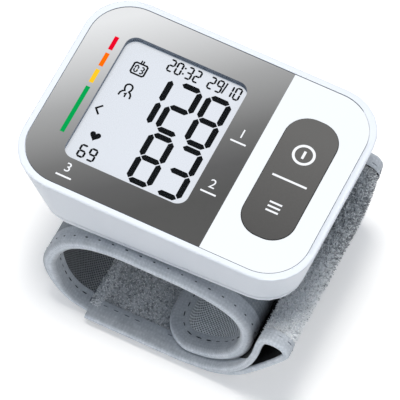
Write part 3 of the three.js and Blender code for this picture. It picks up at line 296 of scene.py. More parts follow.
panel_skin = refined("face_panel", 0.0)
corners = np.array([c.co[:2] for c in panel_skin.data.vertices])
low, high = corners.min(0), corners.max(0)
bend = high[1] - corners[corners[:, 0] > high[0] - 1e-6, 1].max()
KEY_HOLE = ((0.0189, -0.0196), (0.0343, 0.0192), 0.0069)
WINDOW = ((-0.0290, -0.0197), (0.0050, 0.0197), 0.0025)
BED_FILL, KEY_HOLE_CLOSED, WINDOW_WIDENED = 0.00010, -0.00024, 0.0006
moved_outline(panel_skin, low, high, bend, BED_FILL)
moved_outline(panel_skin, *KEY_HOLE, KEY_HOLE_CLOSED)
moved_outline(panel_skin, *WINDOW, WINDOW_WIDENED)
dress(panel_skin, printed, "case", "panel_grey", "face_panel")


# Print on the panel: the colour scale beside the display, and a plain number over a bar beside each of the
# three readings, screen printed in matt inks.
def flat_print(name, shapes, low, thick=2e-5):
    work = bmesh.new()
    for shape in shapes:
        rings = [[work.verts.new((x / 1000, y / 1000, z)) for x, y in shape] for z in (low, low + thick)]
        work.faces.new(rings[0][::-1])
        work.faces.new(rings[1])
        for i in range(len(shape)):
            k = (i + 1) % len(shape)
            work.faces.new((rings[0][i], rings[0][k], rings[1][k], rings[1][i]))
    bmesh.ops.recalc_face_normals(work, faces=work.faces)
    mesh = bpy.data.meshes.new(name)
    work.to_mesh(mesh)
    work.free()
    return add_object(name, mesh)


def box_shape(x0, x1, y0, y1):
    return [(x0, y0), (x1, y0), (x1, y1), (x0, y1)]


def stroke(points, width, closed=False):
    p = np.array(points, float)
    count = len(p)
    ahead = np.roll(p, -1, 0) - p
    if not closed:
        ahead[-1] = ahead[-2]
    ahead /= np.maximum(np.linalg.norm(ahead, axis=1), 1e-9)[:, None]
    behind = np.roll(ahead, 1, 0)
    if not closed:
        behind[0] = ahead[0]
    middle = ahead + behind
    middle /= np.maximum(np.linalg.norm(middle, axis=1), 1e-9)[:, None]
    reach = width / 2 / np.maximum((middle * ahead).sum(1), 0.4)
    side = np.stack([-middle[:, 1], middle[:, 0]], 1) * reach[:, None]
    left, right = p + side, p - side
    steps = range(count if closed else count - 1)
    return [[tuple(right[i]), tuple(right[(i + 1) % count]), tuple(left[(i + 1) % count]), tuple(left[i])]
            for i in steps]


def numerals(name, places, size, low):
    whole = bmesh.new()
    for sign, x, y in places:
        curve = bpy.data.curves.new("numeral", "FONT")
        curve.body = sign
        curve.size = size / 1000
        curve.align_x = "CENTER"
        curve.align_y = "CENTER"
        curve.extrude = 1e-5
        curve.resolution_u = 4
        shape = add_object("numeral", curve)
        flat = bpy.data.meshes.new_from_object(shape.evaluated_get(bpy.context.evaluated_depsgraph_get()))
        flat.transform(Matrix.Translation((x / 1000, y / 1000, low + 1.2e-5)))
        whole.from_mesh(flat)
        bpy.data.objects.remove(shape)
    mesh = bpy.data.meshes.new(name)
    whole.to_mesh(mesh)
    whole.free()
    return add_object(name, mesh)


# Screen ink: an even matt film with a slight flow mark, written for each colour.
def ink(name, code, shade):
    film = plain_finish(name, code, shade, 0.6, 0.0, 0.8, 2e-6)
    film.node_tree.nodes["Principled BSDF"].inputs["Specular IOR Level"].default_value = 0.02
    return film


SCALE_X = (-32.9, -31.7)
for colour, y0, y1, code, shade in (
    ("green", -14.4, 0.9, "#00a651", "#009a4a"),
    ("yellow", 2.3, 6.7, "#ffcb2b", "#f6bf1e"),
    ("orange", 7.9, 12.3, "#ff7200", "#f46800"),
    ("red", 13.5, 17.9, "#ee0027", "#e00023"),
):
    bar = flat_print("scale_bar_" + colour, [box_shape(*SCALE_X, y0, y1)], PANEL_TOP)
    dress(bar, ink("ink_" + colour, code, shade), "case", "panel_grey")
white_ink = ink("ink_white", "#fbfbfb", "#f1f1f1")
reading_places = (("1", 9.9, 6.2), ("2", 9.5, -10.8), ("3", -25.9, -23.4))
dress(numerals("reading_numbers", reading_places, 3.9, PANEL_TOP), white_ink, "case", "panel_grey")
BAR_HALF, BAR_FOOT, BAR_TOP = 2.2, -3.0, -2.5
reading_bars = [box_shape(x - BAR_HALF, x + BAR_HALF, y + BAR_FOOT, y + BAR_TOP)
                for _, x, y in reading_places]
dress(flat_print("reading_bars", reading_bars, PANEL_TOP), white_ink, "case", "panel_grey")


# Display: a liquid-crystal glass with a pale reflector behind it, under a clear acrylic window. The segments
# are dark cells in the glass: two large numbers, a small one, the time, the date and a few signs. The
# reflector glows a little, painted light that lifts the shade at its edges; it is lighter to the right.
LCD_TOP = 0.0558
reflector, tree = new_finish("display_reflector_glass")
place = node(tree, "ShaderNodeTexCoord")
spot = node(tree, "ShaderNodeSeparateXYZ", {0: place.outputs["Object"]})
share = node(tree, "ShaderNodeMapRange", {0: spot.outputs[0], 1: -0.029, 2: 0.005})
grain = node(tree, "ShaderNodeTexNoise", {"Vector": place.outputs["Object"], "Scale": 1500.0, "Detail": 1.0})
tone = node(tree, "ShaderNodeMix", {0: share.outputs[0], 6: linear("#8f959e"), 7: linear("#959aa3")},
            data_type="RGBA")
rough = node(tree, "ShaderNodeMapRange", {0: grain.outputs["Fac"], 3: 0.34, 4: 0.42})
# Painted light: the emission makes the reflector glow faintly, though it is no lamp and nothing lights it.
skin = node(tree, "ShaderNodeBsdfPrincipled", {
    "Base Color": tone.outputs[2], "Roughness": rough.outputs[0], "IOR": 1.5, "Specular IOR Level": 0.1,
    "Emission Color": linear("#fafcff"), "Emission Strength": 0.53})
node(tree, "ShaderNodeOutputMaterial", {"Surface": skin.outputs[0]})
dress(refined("lcd_glass", 0.0), reflector, "case", "lcd", "lcd_glass")

# Clear cast acrylic: almost nothing to see but a soft gleam, with very fine wiping marks in the gloss.
acrylic, tree = new_finish("clear_acrylic")
place = node(tree, "ShaderNodeTexCoord")
marks = node(tree, "ShaderNodeTexNoise", {"Vector": place.outputs["Object"], "Scale": 300.0, "Detail": 3.0})
rough = node(tree, "ShaderNodeMapRange", {0: marks.outputs["Fac"], 3: 0.04, 4: 0.10})
skin = node(tree, "ShaderNodeBsdfPrincipled", {
    "Base Color": linear("#4e565f"), "Roughness": rough.outputs[0], "IOR": 1.49, "Alpha": 0.025})
node(tree, "ShaderNodeOutputMaterial", {"Surface": skin.outputs[0]})
dress(refined("display_window", 0.0), acrylic, "case", "clear_window", "display_window")

# Which of the seven bars of a digit are dark, named a to g as usual: top, right two, foot, left two, middle.
DIGIT_PARTS = {
    "0": "abcdef", "1": "bc", "2": "abged", "3": "abgcd", "6": "acdefg", "8": "abcdefg", "9": "abcdfg",
}


def digit(sign, x, y, wide, tall, thick):
    gap = 0.07 * thick ** 2
    w, h, t = wide / 2, tall / 2, thick / 2
    rows = {"a": h - t, "g": 0.0, "d": t - h}
    shapes = []
    for part in DIGIT_PARTS[sign]:
        if part in rows:
            cy = y + rows[part]
            x0, x1 = x - w + t + gap, x + w - t - gap
            shapes.append([(x0, cy), (x0 + t, cy - t), (x1 - t, cy - t),
                           (x1, cy), (x1 - t, cy + t), (x0 + t, cy + t)])
        else:
            cx = x + (w - t if part in "bc" else t - w)
            y0, y1 = (y + gap, y + h - t - gap) if part in "bf" else (y - h + t + gap, y - gap)
            shapes.append([(cx, y0), (cx + t, y0 + t), (cx + t, y1 - t),
                           (cx, y1), (cx - t, y1 - t), (cx - t, y0 + t)])
    return shapes


def arc(x, y, r, start, end, steps):
    turns = np.radians(np.linspace(start, end, steps))
    return [(x + r * math.cos(t), y + r * math.sin(t)) for t in turns]


# A foam gasket lies on the glass all round the opening and keeps dust out. Its middle line is 1.3 mm outside.
GASKET_R = 3.8
gasket_line = []
for x, y, start in ((2.5, 17.2, 0), (-26.5, 17.2, 90), (-26.5, -17.2, 180), (2.5, -17.2, 270)):
    gasket_line += arc(x, y, GASKET_R, start, start + 90, 9)
foam = plain_finish("pale_foam_gasket", "#c3cdd8", "#b2bdc9", 0.9, 0.0, 0.4, 5e-5)
gasket = flat_print("display_gasket", stroke(gasket_line, 1.0, True), LCD_TOP + 2e-5, 2.5e-4)
dress(gasket, foam, "case", "inner_white")

# Each row of numbers: the width, height and bar of its digits, its place up the glass, and its digits.
CLOCK_Y = 17.9
LARGE, CLOCK, PULSE, COUNT = (7.4, 16.5, 1.66), (1.95, 4.1, 0.52), (2.3, 4.2, 0.58), (1.25, 2.4, 0.42)
segments = []
for size, y, row in (
    (LARGE, 6.6, (("1", -17.0), ("2", -8.6), ("8", -0.2))),
    (LARGE, -10.3, (("8", -8.6), ("3", -0.2))),
    (CLOCK, CLOCK_Y, (("2", -16.3), ("0", -14.1), ("3", -11.1), ("2", -8.8), ("2", -4.6), ("9", -2.3),
                      ("1", 0.6), ("0", 2.9))),
    (PULSE, -15.9, (("6", -25.5), ("9", -22.7))),
    (COUNT, 12.9, (("0", -24.2), ("3", -22.6))),
):
    for sign, x in row:
        segments += digit(sign, x, y, *size)
for y in (CLOCK_Y - 0.9, CLOCK_Y + 0.9):
    segments.append(box_shape(-12.85, -12.35, y - 0.25, y + 0.25))
segments += stroke([(-1.0, CLOCK_Y - 1.7), (-0.7, CLOCK_Y + 1.9)], 0.45)

# The signs: a box round the count of past readings, the person, the pointer at the scale and the heart.
segments += stroke([(-25.3, 14.3), (-25.3, 11.6), (-24.9, 11.2), (-21.9, 11.2), (-21.5, 11.6), (-21.5, 14.3),
                    (-21.9, 14.7), (-24.9, 14.7)], 0.50, True)
for x in (-23.7, -23.1):
    segments += stroke([(x, 14.9), (x, 15.8)], 0.42)
PERSON_X = -23.3
shoulder = [(-1.6, 3.6), (-1.5, 4.6), (-1.1, 5.2), (-0.6, 5.5), (-0.9, 6.1), (-1.0, 6.7)]
segments += stroke([(PERSON_X + x, y) for x, y in shoulder] + arc(PERSON_X, 6.8, 1.0, 170, 10, 9)
                   + [(PERSON_X - x, y) for x, y in shoulder[::-1]], 0.50)
segments += stroke([(-23.7, 4.5), (-23.2, 4.8), (-23.2, 3.6)], 0.44)
segments += stroke([(-26.8, -1.2), (-28.2, -2.7), (-26.8, -4.2)], 0.54)
heart = []
for t in np.linspace(0.15, 2 * math.pi - 0.15, 30):
    lobes = 13 * math.cos(t) - 5 * math.cos(2 * t) - 2 * math.cos(3 * t) - math.cos(4 * t)
    heart.append((-24.6 + 1.5 * math.sin(t) ** 3, -10.4 + 0.1 * lobes))
segments.append(heart)
crystal = ink("dark_display_crystal", "#08090a", "#0d0e0f")
dress(flat_print("display_segments", segments, LCD_TOP), crystal, "case", "lcd")


# Rocker key: one bar of dark grey ABS that tips about a pin across its middle. Printed on it in white are the
# start sign at the back end, a dividing line, and three lines for the list of past readings at the front end.
KEY_TOP = 0.05855
soft_grey, tree = new_finish("moulded_grey_abs")
place = node(tree, "ShaderNodeTexCoord")
grit = node(tree, "ShaderNodeTexNoise", {"Vector": place.outputs["Object"], "Scale": 2200.0, "Detail": 2.0})
spot = node(tree, "ShaderNodeSeparateXYZ", {0: place.outputs["Object"]})
# Painted highlight: the grey is lightened towards the back end of the key.
painted_light_slope = node(tree, "ShaderNodeMapRange", {0: spot.outputs[1], 1: -0.019, 2: 0.019})
mixed = node(tree, "ShaderNodeMath", {0: grit.outputs["Fac"], 1: 0.3, 2: painted_light_slope.outputs[0]},
             operation="MULTIPLY_ADD")
tone = node(tree, "ShaderNodeMix", {0: mixed.outputs[0], 6: linear("#454341"), 7: linear("#615f5c")},
            data_type="RGBA")
relief = node(tree, "ShaderNodeBump", {"Height": grit.outputs["Fac"], "Distance": 1.2e-5, "Strength": 0.3})
skin = node(tree, "ShaderNodeBsdfPrincipled", {
    "Base Color": tone.outputs[2], "Roughness": 0.55, "IOR": 1.53, "Specular IOR Level": 0.25,
    "Normal": relief.outputs[0]})
node(tree, "ShaderNodeOutputMaterial", {"Surface": skin.outputs[0]})
dress(refined("rocker_key", 0.00018), soft_grey, "rocker", "key_grey", "rocker_key")
KEY_X, START_Y, START_R = 26.8, 7.7, 2.75
LIST_X, LIST_ROWS, LINE_HALF = (24.8, 28.3), (-8.6, -9.9, -11.2), 0.27
signs = stroke(arc(KEY_X, START_Y, START_R, 0, 360, 49)[:-1], 0.72, True)
signs += stroke([(KEY_X, START_Y - 1.2), (KEY_X, START_Y + 1.2)], 0.7)
signs.append(box_shape(KEY_X - 4.9, KEY_X + 4.9, -1.3, -0.7))
signs += [box_shape(*LIST_X, y - LINE_HALF, y + LINE_HALF) for y in LIST_ROWS]
dress(flat_print("key_signs", signs, KEY_TOP), white_ink, "rocker", "key_grey")


# Cuff: a roll of cloth whose axis lies along Y, made flat and bent round: outer cover, stiff sheet, air
# bladder and lining, bound at the edges. The route is the outer face, from the flap end round to the seam.
def smooth_route(knots, steps):
    p = np.array(knots, float)
    p = np.vstack([2 * p[0] - p[1], p, 2 * p[-1] - p[-2]])
    line = []
    for i in range(1, len(p) - 2):
        p0, p1, p2, p3 = p[i - 1:i + 3]
        t0, t1, t2 = (max(np.linalg.norm(b - a), 1e-9) ** 0.5 for a, b in ((p0, p1), (p1, p2), (p2, p3)))
        m1 = ((p1 - p0) / t0 - (p2 - p0) / (t0 + t1) + (p2 - p1) / t1) * t1
        m2 = ((p2 - p1) / t1 - (p3 - p1) / (t1 + t2) + (p3 - p2) / t2) * t1
        for k in range(steps):
            u = k / steps
            line.append((2 * u ** 3 - 3 * u ** 2 + 1) * p1 + (u ** 3 - 2 * u ** 2 + u) * m1
                        + (3 * u ** 2 - 2 * u ** 3) * p2 + (u ** 3 - u ** 2) * m2)
    line.append(p[-2])
    return np.array(line)


ROUTE_STEP = 0.0005


# A line as a route: evenly spaced points, and at each one the side that depth is measured to.
def route_of(line):
    p = np.array(line, float) / 1000
    along = np.concatenate([[0], np.cumsum(np.linalg.norm(np.diff(p, axis=0), axis=1))])
    even = np.linspace(0, along[-1], int(along[-1] / ROUTE_STEP) + 1)
    x, z = np.interp(even, along, p[:, 0]), np.interp(even, along, p[:, 1])
    dx, dz = np.gradient(x, even), np.gradient(z, even)
    size = np.hypot(dx, dz)
    none = np.zeros(len(even))
    return {"a": even, "x": x, "z": z, "nx": -dz / size, "nz": dx / size, "lean": none, "tuck": none}


TUCK_FROM, TUCK_OVER = 0.010, 0.022


# The place at length a along a route, y across it and depth d off it. The tuck draws the rear end in.
def on_route(route, a, y, d):
    a, y, d = np.broadcast_arrays(np.asarray(a, float), y, d)
    get = {k: np.interp(a, route["a"], route[k]) for k in ("x", "z", "nx", "nz", "lean", "tuck")}
    across = get["x"] + get["nx"] * d - get["tuck"] * np.clip((y - TUCK_FROM) / TUCK_OVER, 0, 1) ** 2
    return np.stack([across, y + get["lean"], get["z"] + get["nz"] * d], -1)


# Smooth random waves between -1 and 1, a pitch apart.
def ripples(a, y, pitch, seed):
    lattice = np.random.RandomState(seed).rand(64, 64)
    u, v = np.asarray(a) / pitch, np.asarray(y) / pitch
    i, k = np.floor(u).astype(int), np.floor(v).astype(int)
    fu, fv = u - i, v - k
    fu, fv = fu * fu * (3 - 2 * fu), fv * fv * (3 - 2 * fv)
    pick = [[lattice[(i + m) % 64, (k + n) % 64] for n in (0, 1)] for m in (0, 1)]
    low = pick[0][0] * (1 - fv) + pick[0][1] * fv
    high = pick[1][0] * (1 - fv) + pick[1][1] * fv
    return (low * (1 - fu) + high * fu) * 2 - 1


# A closed skin over rows of rings, with a UV map in metres that starts at the ring's corner origin. Strips
# that second marks take the second material.
def ring_mesh(name, rings, second=None, origin=0):
    count, around = rings.shape[:2]
    corners = rings.reshape(-1, 3)
    faces, uvs, slots = [], [], []
    middle = rings[count // 2]
    step_u = np.linalg.norm(np.roll(middle, -1, 0) - middle, axis=1)
    u = np.concatenate([[0], np.cumsum(step_u)])
    u = u - u[origin]
    v = np.concatenate([[0], np.cumsum(np.linalg.norm(np.diff(rings, axis=0), axis=2).mean(1))])
    for i in range(count - 1):
        for k in range(around):
            n = (k + 1) % around
            faces.append((i * around + k, i * around + n, (i + 1) * around + n, (i + 1) * around + k))
            uvs += [(u[k], v[i]), (u[k + 1], v[i]), (u[k + 1], v[i + 1]), (u[k], v[i + 1])]
            slots.append(1 if second and second[k] else 0)
    for row, flip in ((0, True), (count - 1, False)):
        ring = [row * around + k for k in range(around)]
        faces.append(tuple(ring[::-1] if flip else ring))
        uvs += [(u[k % around], v[row]) for k in (range(around)[::-1] if flip else range(around))]
        slots.append(0)
    mesh = bpy.data.meshes.new(name)
    mesh.from_pydata([tuple(c) for c in corners], [], faces)
    layer = mesh.uv_layers.new(name="cloth")
    layer.data.foreach_set("uv", np.array(uvs, np.float32).ravel())
    mesh.polygons.foreach_set("material_index", slots)
    mesh.polygons.foreach_set("use_smooth", [True] * len(faces))
    work = bmesh.new()
    work.from_mesh(mesh)
    bmesh.ops.recalc_face_normals(work, faces=work.faces)
    work.to_mesh(mesh)
    work.free()
    mesh.set_sharp_from_angle(angle=math.radians(50))
    return add_object(name, mesh)


ROLL_KNOTS = [
    (5.5, 4.15), (14.02, 4.41), (21.18, 6.31), (26.88, 10.82), (30.61, 17), (32.2, 24), (31.71, 30.49),
    (28.59, 35.7), (23.02, 39.2), (14.02, 41.1), (2.03, 41.4), (-8.99, 41.1), (-17.49, 38.61),
    (-23.61, 33.91), (-27.29, 27.39), (-29, 19.91), (-28.08, 13.61), (-25.21, 8.21), (-20.98, 3.89),
    (-15.5, 2.05),
]
roll = route_of(smooth_route(ROLL_KNOTS, 12))
ROLL_LENGTH = roll["a"][-1]
CUFF_T, STRAP_T, CUFF_HALF, TAPE, FLAP_R = 0.0035, 0.0018, 0.032, 0.005, 0.010
COVER_T, LINING_T, BLADDER_TOP, BLADDER_FOOT = 0.0007, 0.00064, 0.00176, 0.00272


THIN_FROM, THIN_OVER = 0.86, 0.12


# Towards the seam the cuff thins to the thickness of the strap.
def cuff_depth(a):
    s = np.clip((np.asarray(a) / ROLL_LENGTH - THIN_FROM) / THIN_OVER, 0, 1)
    return CUFF_T + (STRAP_T - CUFF_T) * s * s * (3 - 2 * s)


def cloth_half(a, margin):
    r = FLAP_R - margin
    short = np.clip(FLAP_R - np.asarray(a), 0, r)
    return CUFF_HALF - margin - r + np.sqrt(np.maximum(r * r - short * short, 0))


def cuff_layer(name, outer, inner, margin, end_share, swell=0.0, rows=170, cols=30):
    start = margin + 0.0002
    a = np.linspace(start, ROLL_LENGTH * end_share, rows)[:, None]
    share = np.linspace(-1, 1, cols)[None, :]
    half = cloth_half(a, margin)
    y = share * half
    puff = swell * (1 - share ** 2) * np.clip((a - start) / 0.006, 0, 1)
    puff = puff * (1 + 0.5 * ripples(a + 0 * y, y + 0.1, 0.011, 4))
    top = on_route(roll, a + 0 * y, y, outer(a) + 0 * y)
    low = on_route(roll, a + 0 * y, y, inner(a) + puff)
    return ring_mesh(name, np.concatenate([top, low[:, ::-1]], axis=1))


# Plain-woven cloth: ribs of thread_mm each way, uneven in colour as yarn is, over a soft mottle of 3 mm.
# A tape is paler where it rolls over the edge, bead_mm to each side of the fold, than where it lies flat: a
# painted highlight.
def woven_finish(name, light, dark, thread_mm, depth, sheen, contrast, bead_mm=0.0):
    material, tree = new_finish(name)
    lay = node(tree, "ShaderNodeUVMap", uv_map="cloth")
    place = node(tree, "ShaderNodeTexCoord")
    ribs = []
    for direction in ("X", "Y"):
        rib = node(tree, "ShaderNodeTexWave", {
            "Vector": lay.outputs[0], "Scale": 1000 / thread_mm / 6.4, "Distortion": 1.6, "Detail": 2.0,
            "Detail Scale": 1.5}, bands_direction=direction)
        ribs.append(rib.outputs["Fac"])
    weave = node(tree, "ShaderNodeMath", {0: ribs[0], 1: ribs[1]}, operation="MULTIPLY")
    yarn = node(tree, "ShaderNodeTexNoise", {
        "Vector": place.outputs["Object"], "Scale": 1400.0, "Detail": 3.0, "Roughness": 0.65})
    mottle = node(tree, "ShaderNodeTexNoise",
                  {"Vector": place.outputs["Object"], "Scale": 330.0, "Detail": 4.0})
    both = node(tree, "ShaderNodeMath", {0: weave.outputs[0], 1: contrast, 2: yarn.outputs["Fac"]},
                operation="MULTIPLY_ADD")
    mixed = node(tree, "ShaderNodeMath", {0: mottle.outputs["Fac"], 1: 0.8, 2: both.outputs[0]},
                 operation="MULTIPLY_ADD")
    share = node(tree, "ShaderNodeMapRange", {0: mixed.outputs[0], 1: 0.55, 2: 1.25 + 0.6 * contrast})
    tone = node(tree, "ShaderNodeMix", {0: share.outputs[0], 6: linear(dark), 7: linear(light)},
                data_type="RGBA")
    if bead_mm:
        # Painted highlight: the nose of a tape is lightened 1.3 times, its flats darkened to 0.92.
        across = node(tree, "ShaderNodeSeparateXYZ", {0: lay.outputs[0]})
        off = node(tree, "ShaderNodeMath", {0: across.outputs[0]}, operation="ABSOLUTE")
        rolled = node(tree, "ShaderNodeMapRange",
                      {0: off.outputs[0], 1: 0.0005 * bead_mm, 2: 0.001 * bead_mm, 3: 1.3, 4: 0.92})
        tone = node(tree, "ShaderNodeMix", {0: 1.0, 6: tone.outputs[2], 7: rolled.outputs[0]},
                    data_type="RGBA", blend_type="MULTIPLY")
    relief = node(tree, "ShaderNodeBump", {"Height": both.outputs[0], "Distance": depth, "Strength": 0.7})
    skin = node(tree, "ShaderNodeBsdfPrincipled", {
        "Base Color": tone.outputs[2], "Roughness": 0.88, "IOR": 1.45, "Specular IOR Level": 0.3,
        "Sheen Weight": sheen, "Sheen Roughness": 0.5, "Normal": relief.outputs[0]})
    node(tree, "ShaderNodeOutputMaterial", {"Surface": skin.outputs[0]})
    return material


cover_cloth = woven_finish("plain_woven_nylon", "#a7acb0", "#7b8185", thread_mm=0.5, depth=5e-5, sheen=0.1,
                           contrast=0.4)
cover = cuff_layer("cuff_cover_cloth", lambda a: 0 * a, lambda a: 0 * a + COVER_T, TAPE, 1.0)
dress(cover, cover_cloth, "case", "cover_cloth", "cuff_cover")
bladder = cuff_layer("cuff_air_bladder", lambda a: 0 * a + BLADDER_TOP, lambda a: 0 * a + BLADDER_FOOT,
                     TAPE + 0.002, 0.8)
bladder_film = plain_finish("calendered_pvc", "#8f9aa3", "#84909a", 0.45, 0.0, 2.0, 2e-5)
dress(bladder, bladder_film, "case", "bladder", "air_bladder")

# Knitted mesh lining: a smooth knit with rows of small open holes, 0.65 mm apart and staggered, sewn in under
# the edge tape. Its grey has painted shade towards the left of the roll and painted light towards the flap.
lining_cloth, tree = new_finish("knitted_mesh_lining")
lay = node(tree, "ShaderNodeUVMap", uv_map="cloth")
turned = node(tree, "ShaderNodeMapping", {0: lay.outputs[0], "Rotation": (0, 0, math.radians(45))})
holes = node(tree, "ShaderNodeTexVoronoi", {"Vector": turned.outputs[0], "Scale": 1540.0, "Randomness": 0.08},
             voronoi_dimensions="2D")
place = node(tree, "ShaderNodeTexCoord")
yarn = node(tree, "ShaderNodeTexNoise", {"Vector": place.outputs["Object"], "Scale": 900.0, "Detail": 3.0})
rim = node(tree, "ShaderNodeMapRange", {0: holes.outputs["Distance"], 1: 0.22, 2: 0.44})
mixed = node(tree, "ShaderNodeMath", {0: yarn.outputs["Fac"], 1: 0.5, 2: rim.outputs[0]},
             operation="MULTIPLY_ADD")
share = node(tree, "ShaderNodeMapRange", {0: mixed.outputs[0], 1: 0.15, 2: 1.3})
tone = node(tree, "ShaderNodeMix", {0: share.outputs[0], 6: linear("#5f6568"), 7: linear("#e0e3e5")},
            data_type="RGBA")
spot = node(tree, "ShaderNodeSeparateXYZ", {0: place.outputs["Object"]})
# Painted shade and light: the colour is darkened to the left of the roll and lightened towards the flap.
dim = node(tree, "ShaderNodeMapRange", {0: spot.outputs[0], 1: -0.026, 2: 0.016, 3: 0.22, 4: 1.2})
graded = node(tree, "ShaderNodeMix", {0: 1.0, 6: tone.outputs[2], 7: dim.outputs[0]}, data_type="RGBA",
              blend_type="MULTIPLY")
relief = node(tree, "ShaderNodeBump", {"Height": rim.outputs[0], "Distance": 1.5e-4, "Strength": 0.8})
skin = node(tree, "ShaderNodeBsdfPrincipled", {
    "Base Color": graded.outputs[2], "Roughness": 0.9, "IOR": 1.45, "Specular IOR Level": 0.3,
    "Sheen Weight": 0.1, "Normal": relief.outputs[0]})
node(tree, "ShaderNodeOutputMaterial", {"Surface": skin.outputs[0]})
lining = cuff_layer("cuff_lining_cloth", lambda a: cuff_depth(a) - LINING_T, cuff_depth, TAPE, 1.0,
                    swell=0.0004)
dress(lining, lining_cloth, "case", "lining_cloth", "cuff_lining")


# Edge tape of the cuff: a woven polyester binding folded over the raw edges and round the flap end, sewn
# through with one row of stitches that pucker it a little.
def edge_path(length, step=0.0008):
    straight = np.arange(length, FLAP_R, -step)
    turn = np.linspace(0, math.pi / 2, 22)[1:]
    across = np.arange(FLAP_R - CUFF_HALF, CUFF_HALF - FLAP_R, step)
    front = [(a, -CUFF_HALF, 0, 1) for a in straight]
    for t in turn:
        na, ny = math.sin(t), math.cos(t)
        front.append((FLAP_R - FLAP_R * na, FLAP_R - CUFF_HALF - FLAP_R * ny, na, ny))
    end = [(0, y, 1, 0) for y in across[1:-1]]
    rear = [(a, -y, na, -ny) for a, y, na, ny in front[::-1]]
    return np.array(front + end + rear)


BEND_STEPS, FLAT_STEPS = 9, 6


def tape_profile(wide, thick, proud):
    turn = np.linspace(-math.pi / 2, math.pi / 2, BEND_STEPS)
    nose = 0.55 * (thick / 2 + proud)
    flat = np.linspace(wide, nose * 1.3, FLAT_STEPS)
    outer = [(q, -proud) for q in flat]
    bend = [(nose - nose * math.cos(t), thick / 2 + (thick / 2 + proud) * math.sin(t)) for t in turn]
    inner = [(q, thick + proud) for q in flat[::-1]]
    return np.array(outer + bend + inner)


# The stitches pull the tape in along their line, and it lies a little slack between them.
PULL_IN, PULL_LINE, PULL_WIDE = 0.00012, 0.0039, 0.0008
SLACK, SLACK_PITCH, SLACK_FULL, TAUT_NOSE = 0.00010, 0.006, 0.003, 0.0012


def bound_edge(name, path, place, depth, proud, wide, pitch, seed, painted_shade_back=False):
    run = np.concatenate([[0], np.cumsum(np.hypot(np.diff(path[:, 0]), np.diff(path[:, 1])))])
    rings = []
    for (a, y, na, ny), along in zip(path, run):
        shape = tape_profile(wide(a), depth(a), proud)
        q, d = shape[:, 0], shape[:, 1]
        pull = 0.5 + 0.5 * math.cos(2 * math.pi * along / pitch)
        pucker = PULL_IN * np.exp(-((q - PULL_LINE) / PULL_WIDE) ** 2) * pull
        slack = SLACK * ripples(along + 0 * q, 0.3 + 0 * q, SLACK_PITCH, seed)
        sag = slack * np.clip(q / SLACK_FULL, 0, 1) - pucker
        d = np.where(q < TAUT_NOSE, d, d + np.where(d > depth(a) / 2, sag, -sag))
        rings.append(place(a + na * q, y + ny * q, d))
    count = rings[0].shape[0]
    # Painted shade: the flat back faces can take a second material, a black standing for shade.
    back = [painted_shade_back and k >= count - FLAT_STEPS for k in range(count)]
    return ring_mesh(name, np.array(rings), back, count // 2)


tape_cloth = woven_finish("woven_polyester_tape", "#dadee2", "#b0b6bc", thread_mm=0.45, depth=5e-5,
                          sheen=0.15, contrast=0.25, bead_mm=1.4)
cuff_edge = edge_path(ROLL_LENGTH)
cuff_tape = bound_edge("cuff_edge_tape", cuff_edge, lambda a, y, d: on_route(roll, np.maximum(a, 0), y, d),
                       depth=lambda a: float(cuff_depth(a)), proud=0.00014, wide=lambda a: TAPE + 0.0003,
                       pitch=0.0032, seed=7)
dress(cuff_tape, tape_cloth, "case", "binding_tape", "cuff_binding")


# Stitches: rows of twisted polyester thread along the tapes, dark on the cuff, where the dark is partly
# painted shade for the stitch holes, and grey on the strap and welt. A tree sets short threads along a line.
def new_tree(name, inputs, output):
    tree = bpy.data.node_groups.new(name, "GeometryNodeTree")
    for label, kind, value in inputs:
        socket = tree.interface.new_socket(label, in_out="INPUT", socket_type="NodeSocket" + kind)
        if value is not None:
            socket.default_value = value
    tree.interface.new_socket(output, in_out="OUTPUT", socket_type="NodeSocketGeometry")
    return tree, node(tree, "NodeGroupInput")


def grown(made, tree, values):
    modifier = made.modifiers.new(tree.name, "NODES")
    modifier.node_group = tree
    keys = {item.name: item.identifier for item in tree.interface.items_tree if item.in_out == "INPUT"}
    for name, value in values.items():
        modifier[keys[name]] = value
    settled(made)


def stitch_tree():
    tree, given = new_tree("stitch_row", (
        ("Line", "Geometry", None), ("Pitch", "Float", 0.003), ("Thread length", "Float", 0.002),
        ("Thread radius", "Float", 0.0002), ("Thread", "Material", None)), "Row")
    line = node(tree, "GeometryNodeMeshToCurve", {"Mesh": given.outputs["Line"]})
    spaced = node(tree, "GeometryNodeResampleCurve",
                  {"Curve": line.outputs[0], "Length": given.outputs["Pitch"]}, mode="LENGTH")
    bead = node(tree, "GeometryNodeMeshUVSphere", {"Segments": 6, "Rings": 5, "Radius": 1.0})
    half = node(tree, "ShaderNodeMath", {0: given.outputs["Thread length"], 1: 0.5}, operation="MULTIPLY")
    size = node(tree, "ShaderNodeCombineXYZ", {0: half.outputs[0], 1: given.outputs["Thread radius"],
                                               2: given.outputs["Thread radius"]})
    lie = node(tree, "FunctionNodeAlignRotationToVector",
               {"Vector": node(tree, "GeometryNodeInputTangent").outputs[0]}, axis="X")
    laid = node(tree, "GeometryNodeInstanceOnPoints", {
        "Points": spaced.outputs[0], "Instance": bead.outputs["Mesh"], "Rotation": lie.outputs[0],
        "Scale": size.outputs[0]})
    real = node(tree, "GeometryNodeRealizeInstances", {0: laid.outputs[0]})
    dyed = node(tree, "GeometryNodeSetMaterial",
                {"Geometry": real.outputs[0], "Material": given.outputs["Thread"]})
    node(tree, "NodeGroupOutput", {"Row": dyed.outputs[0]})
    return tree


stitches = stitch_tree()


def sewn(name, lines, pitch, length, radius, thread, body):
    mesh = bpy.data.meshes.new(name)
    points, edges = [], []
    for line in lines:
        first = len(points)
        points += [tuple(p) for p in line]
        edges += [(i, i + 1) for i in range(first, len(points) - 1)]
    mesh.from_pydata(points, edges, [])
    row = add_object(name, mesh)
    grown(row, stitches, {"Pitch": pitch, "Thread length": length, "Thread radius": radius, "Thread": thread})
    row.data.polygons.foreach_set("use_smooth", [True] * len(row.data.polygons))
    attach(row, body)
    return row
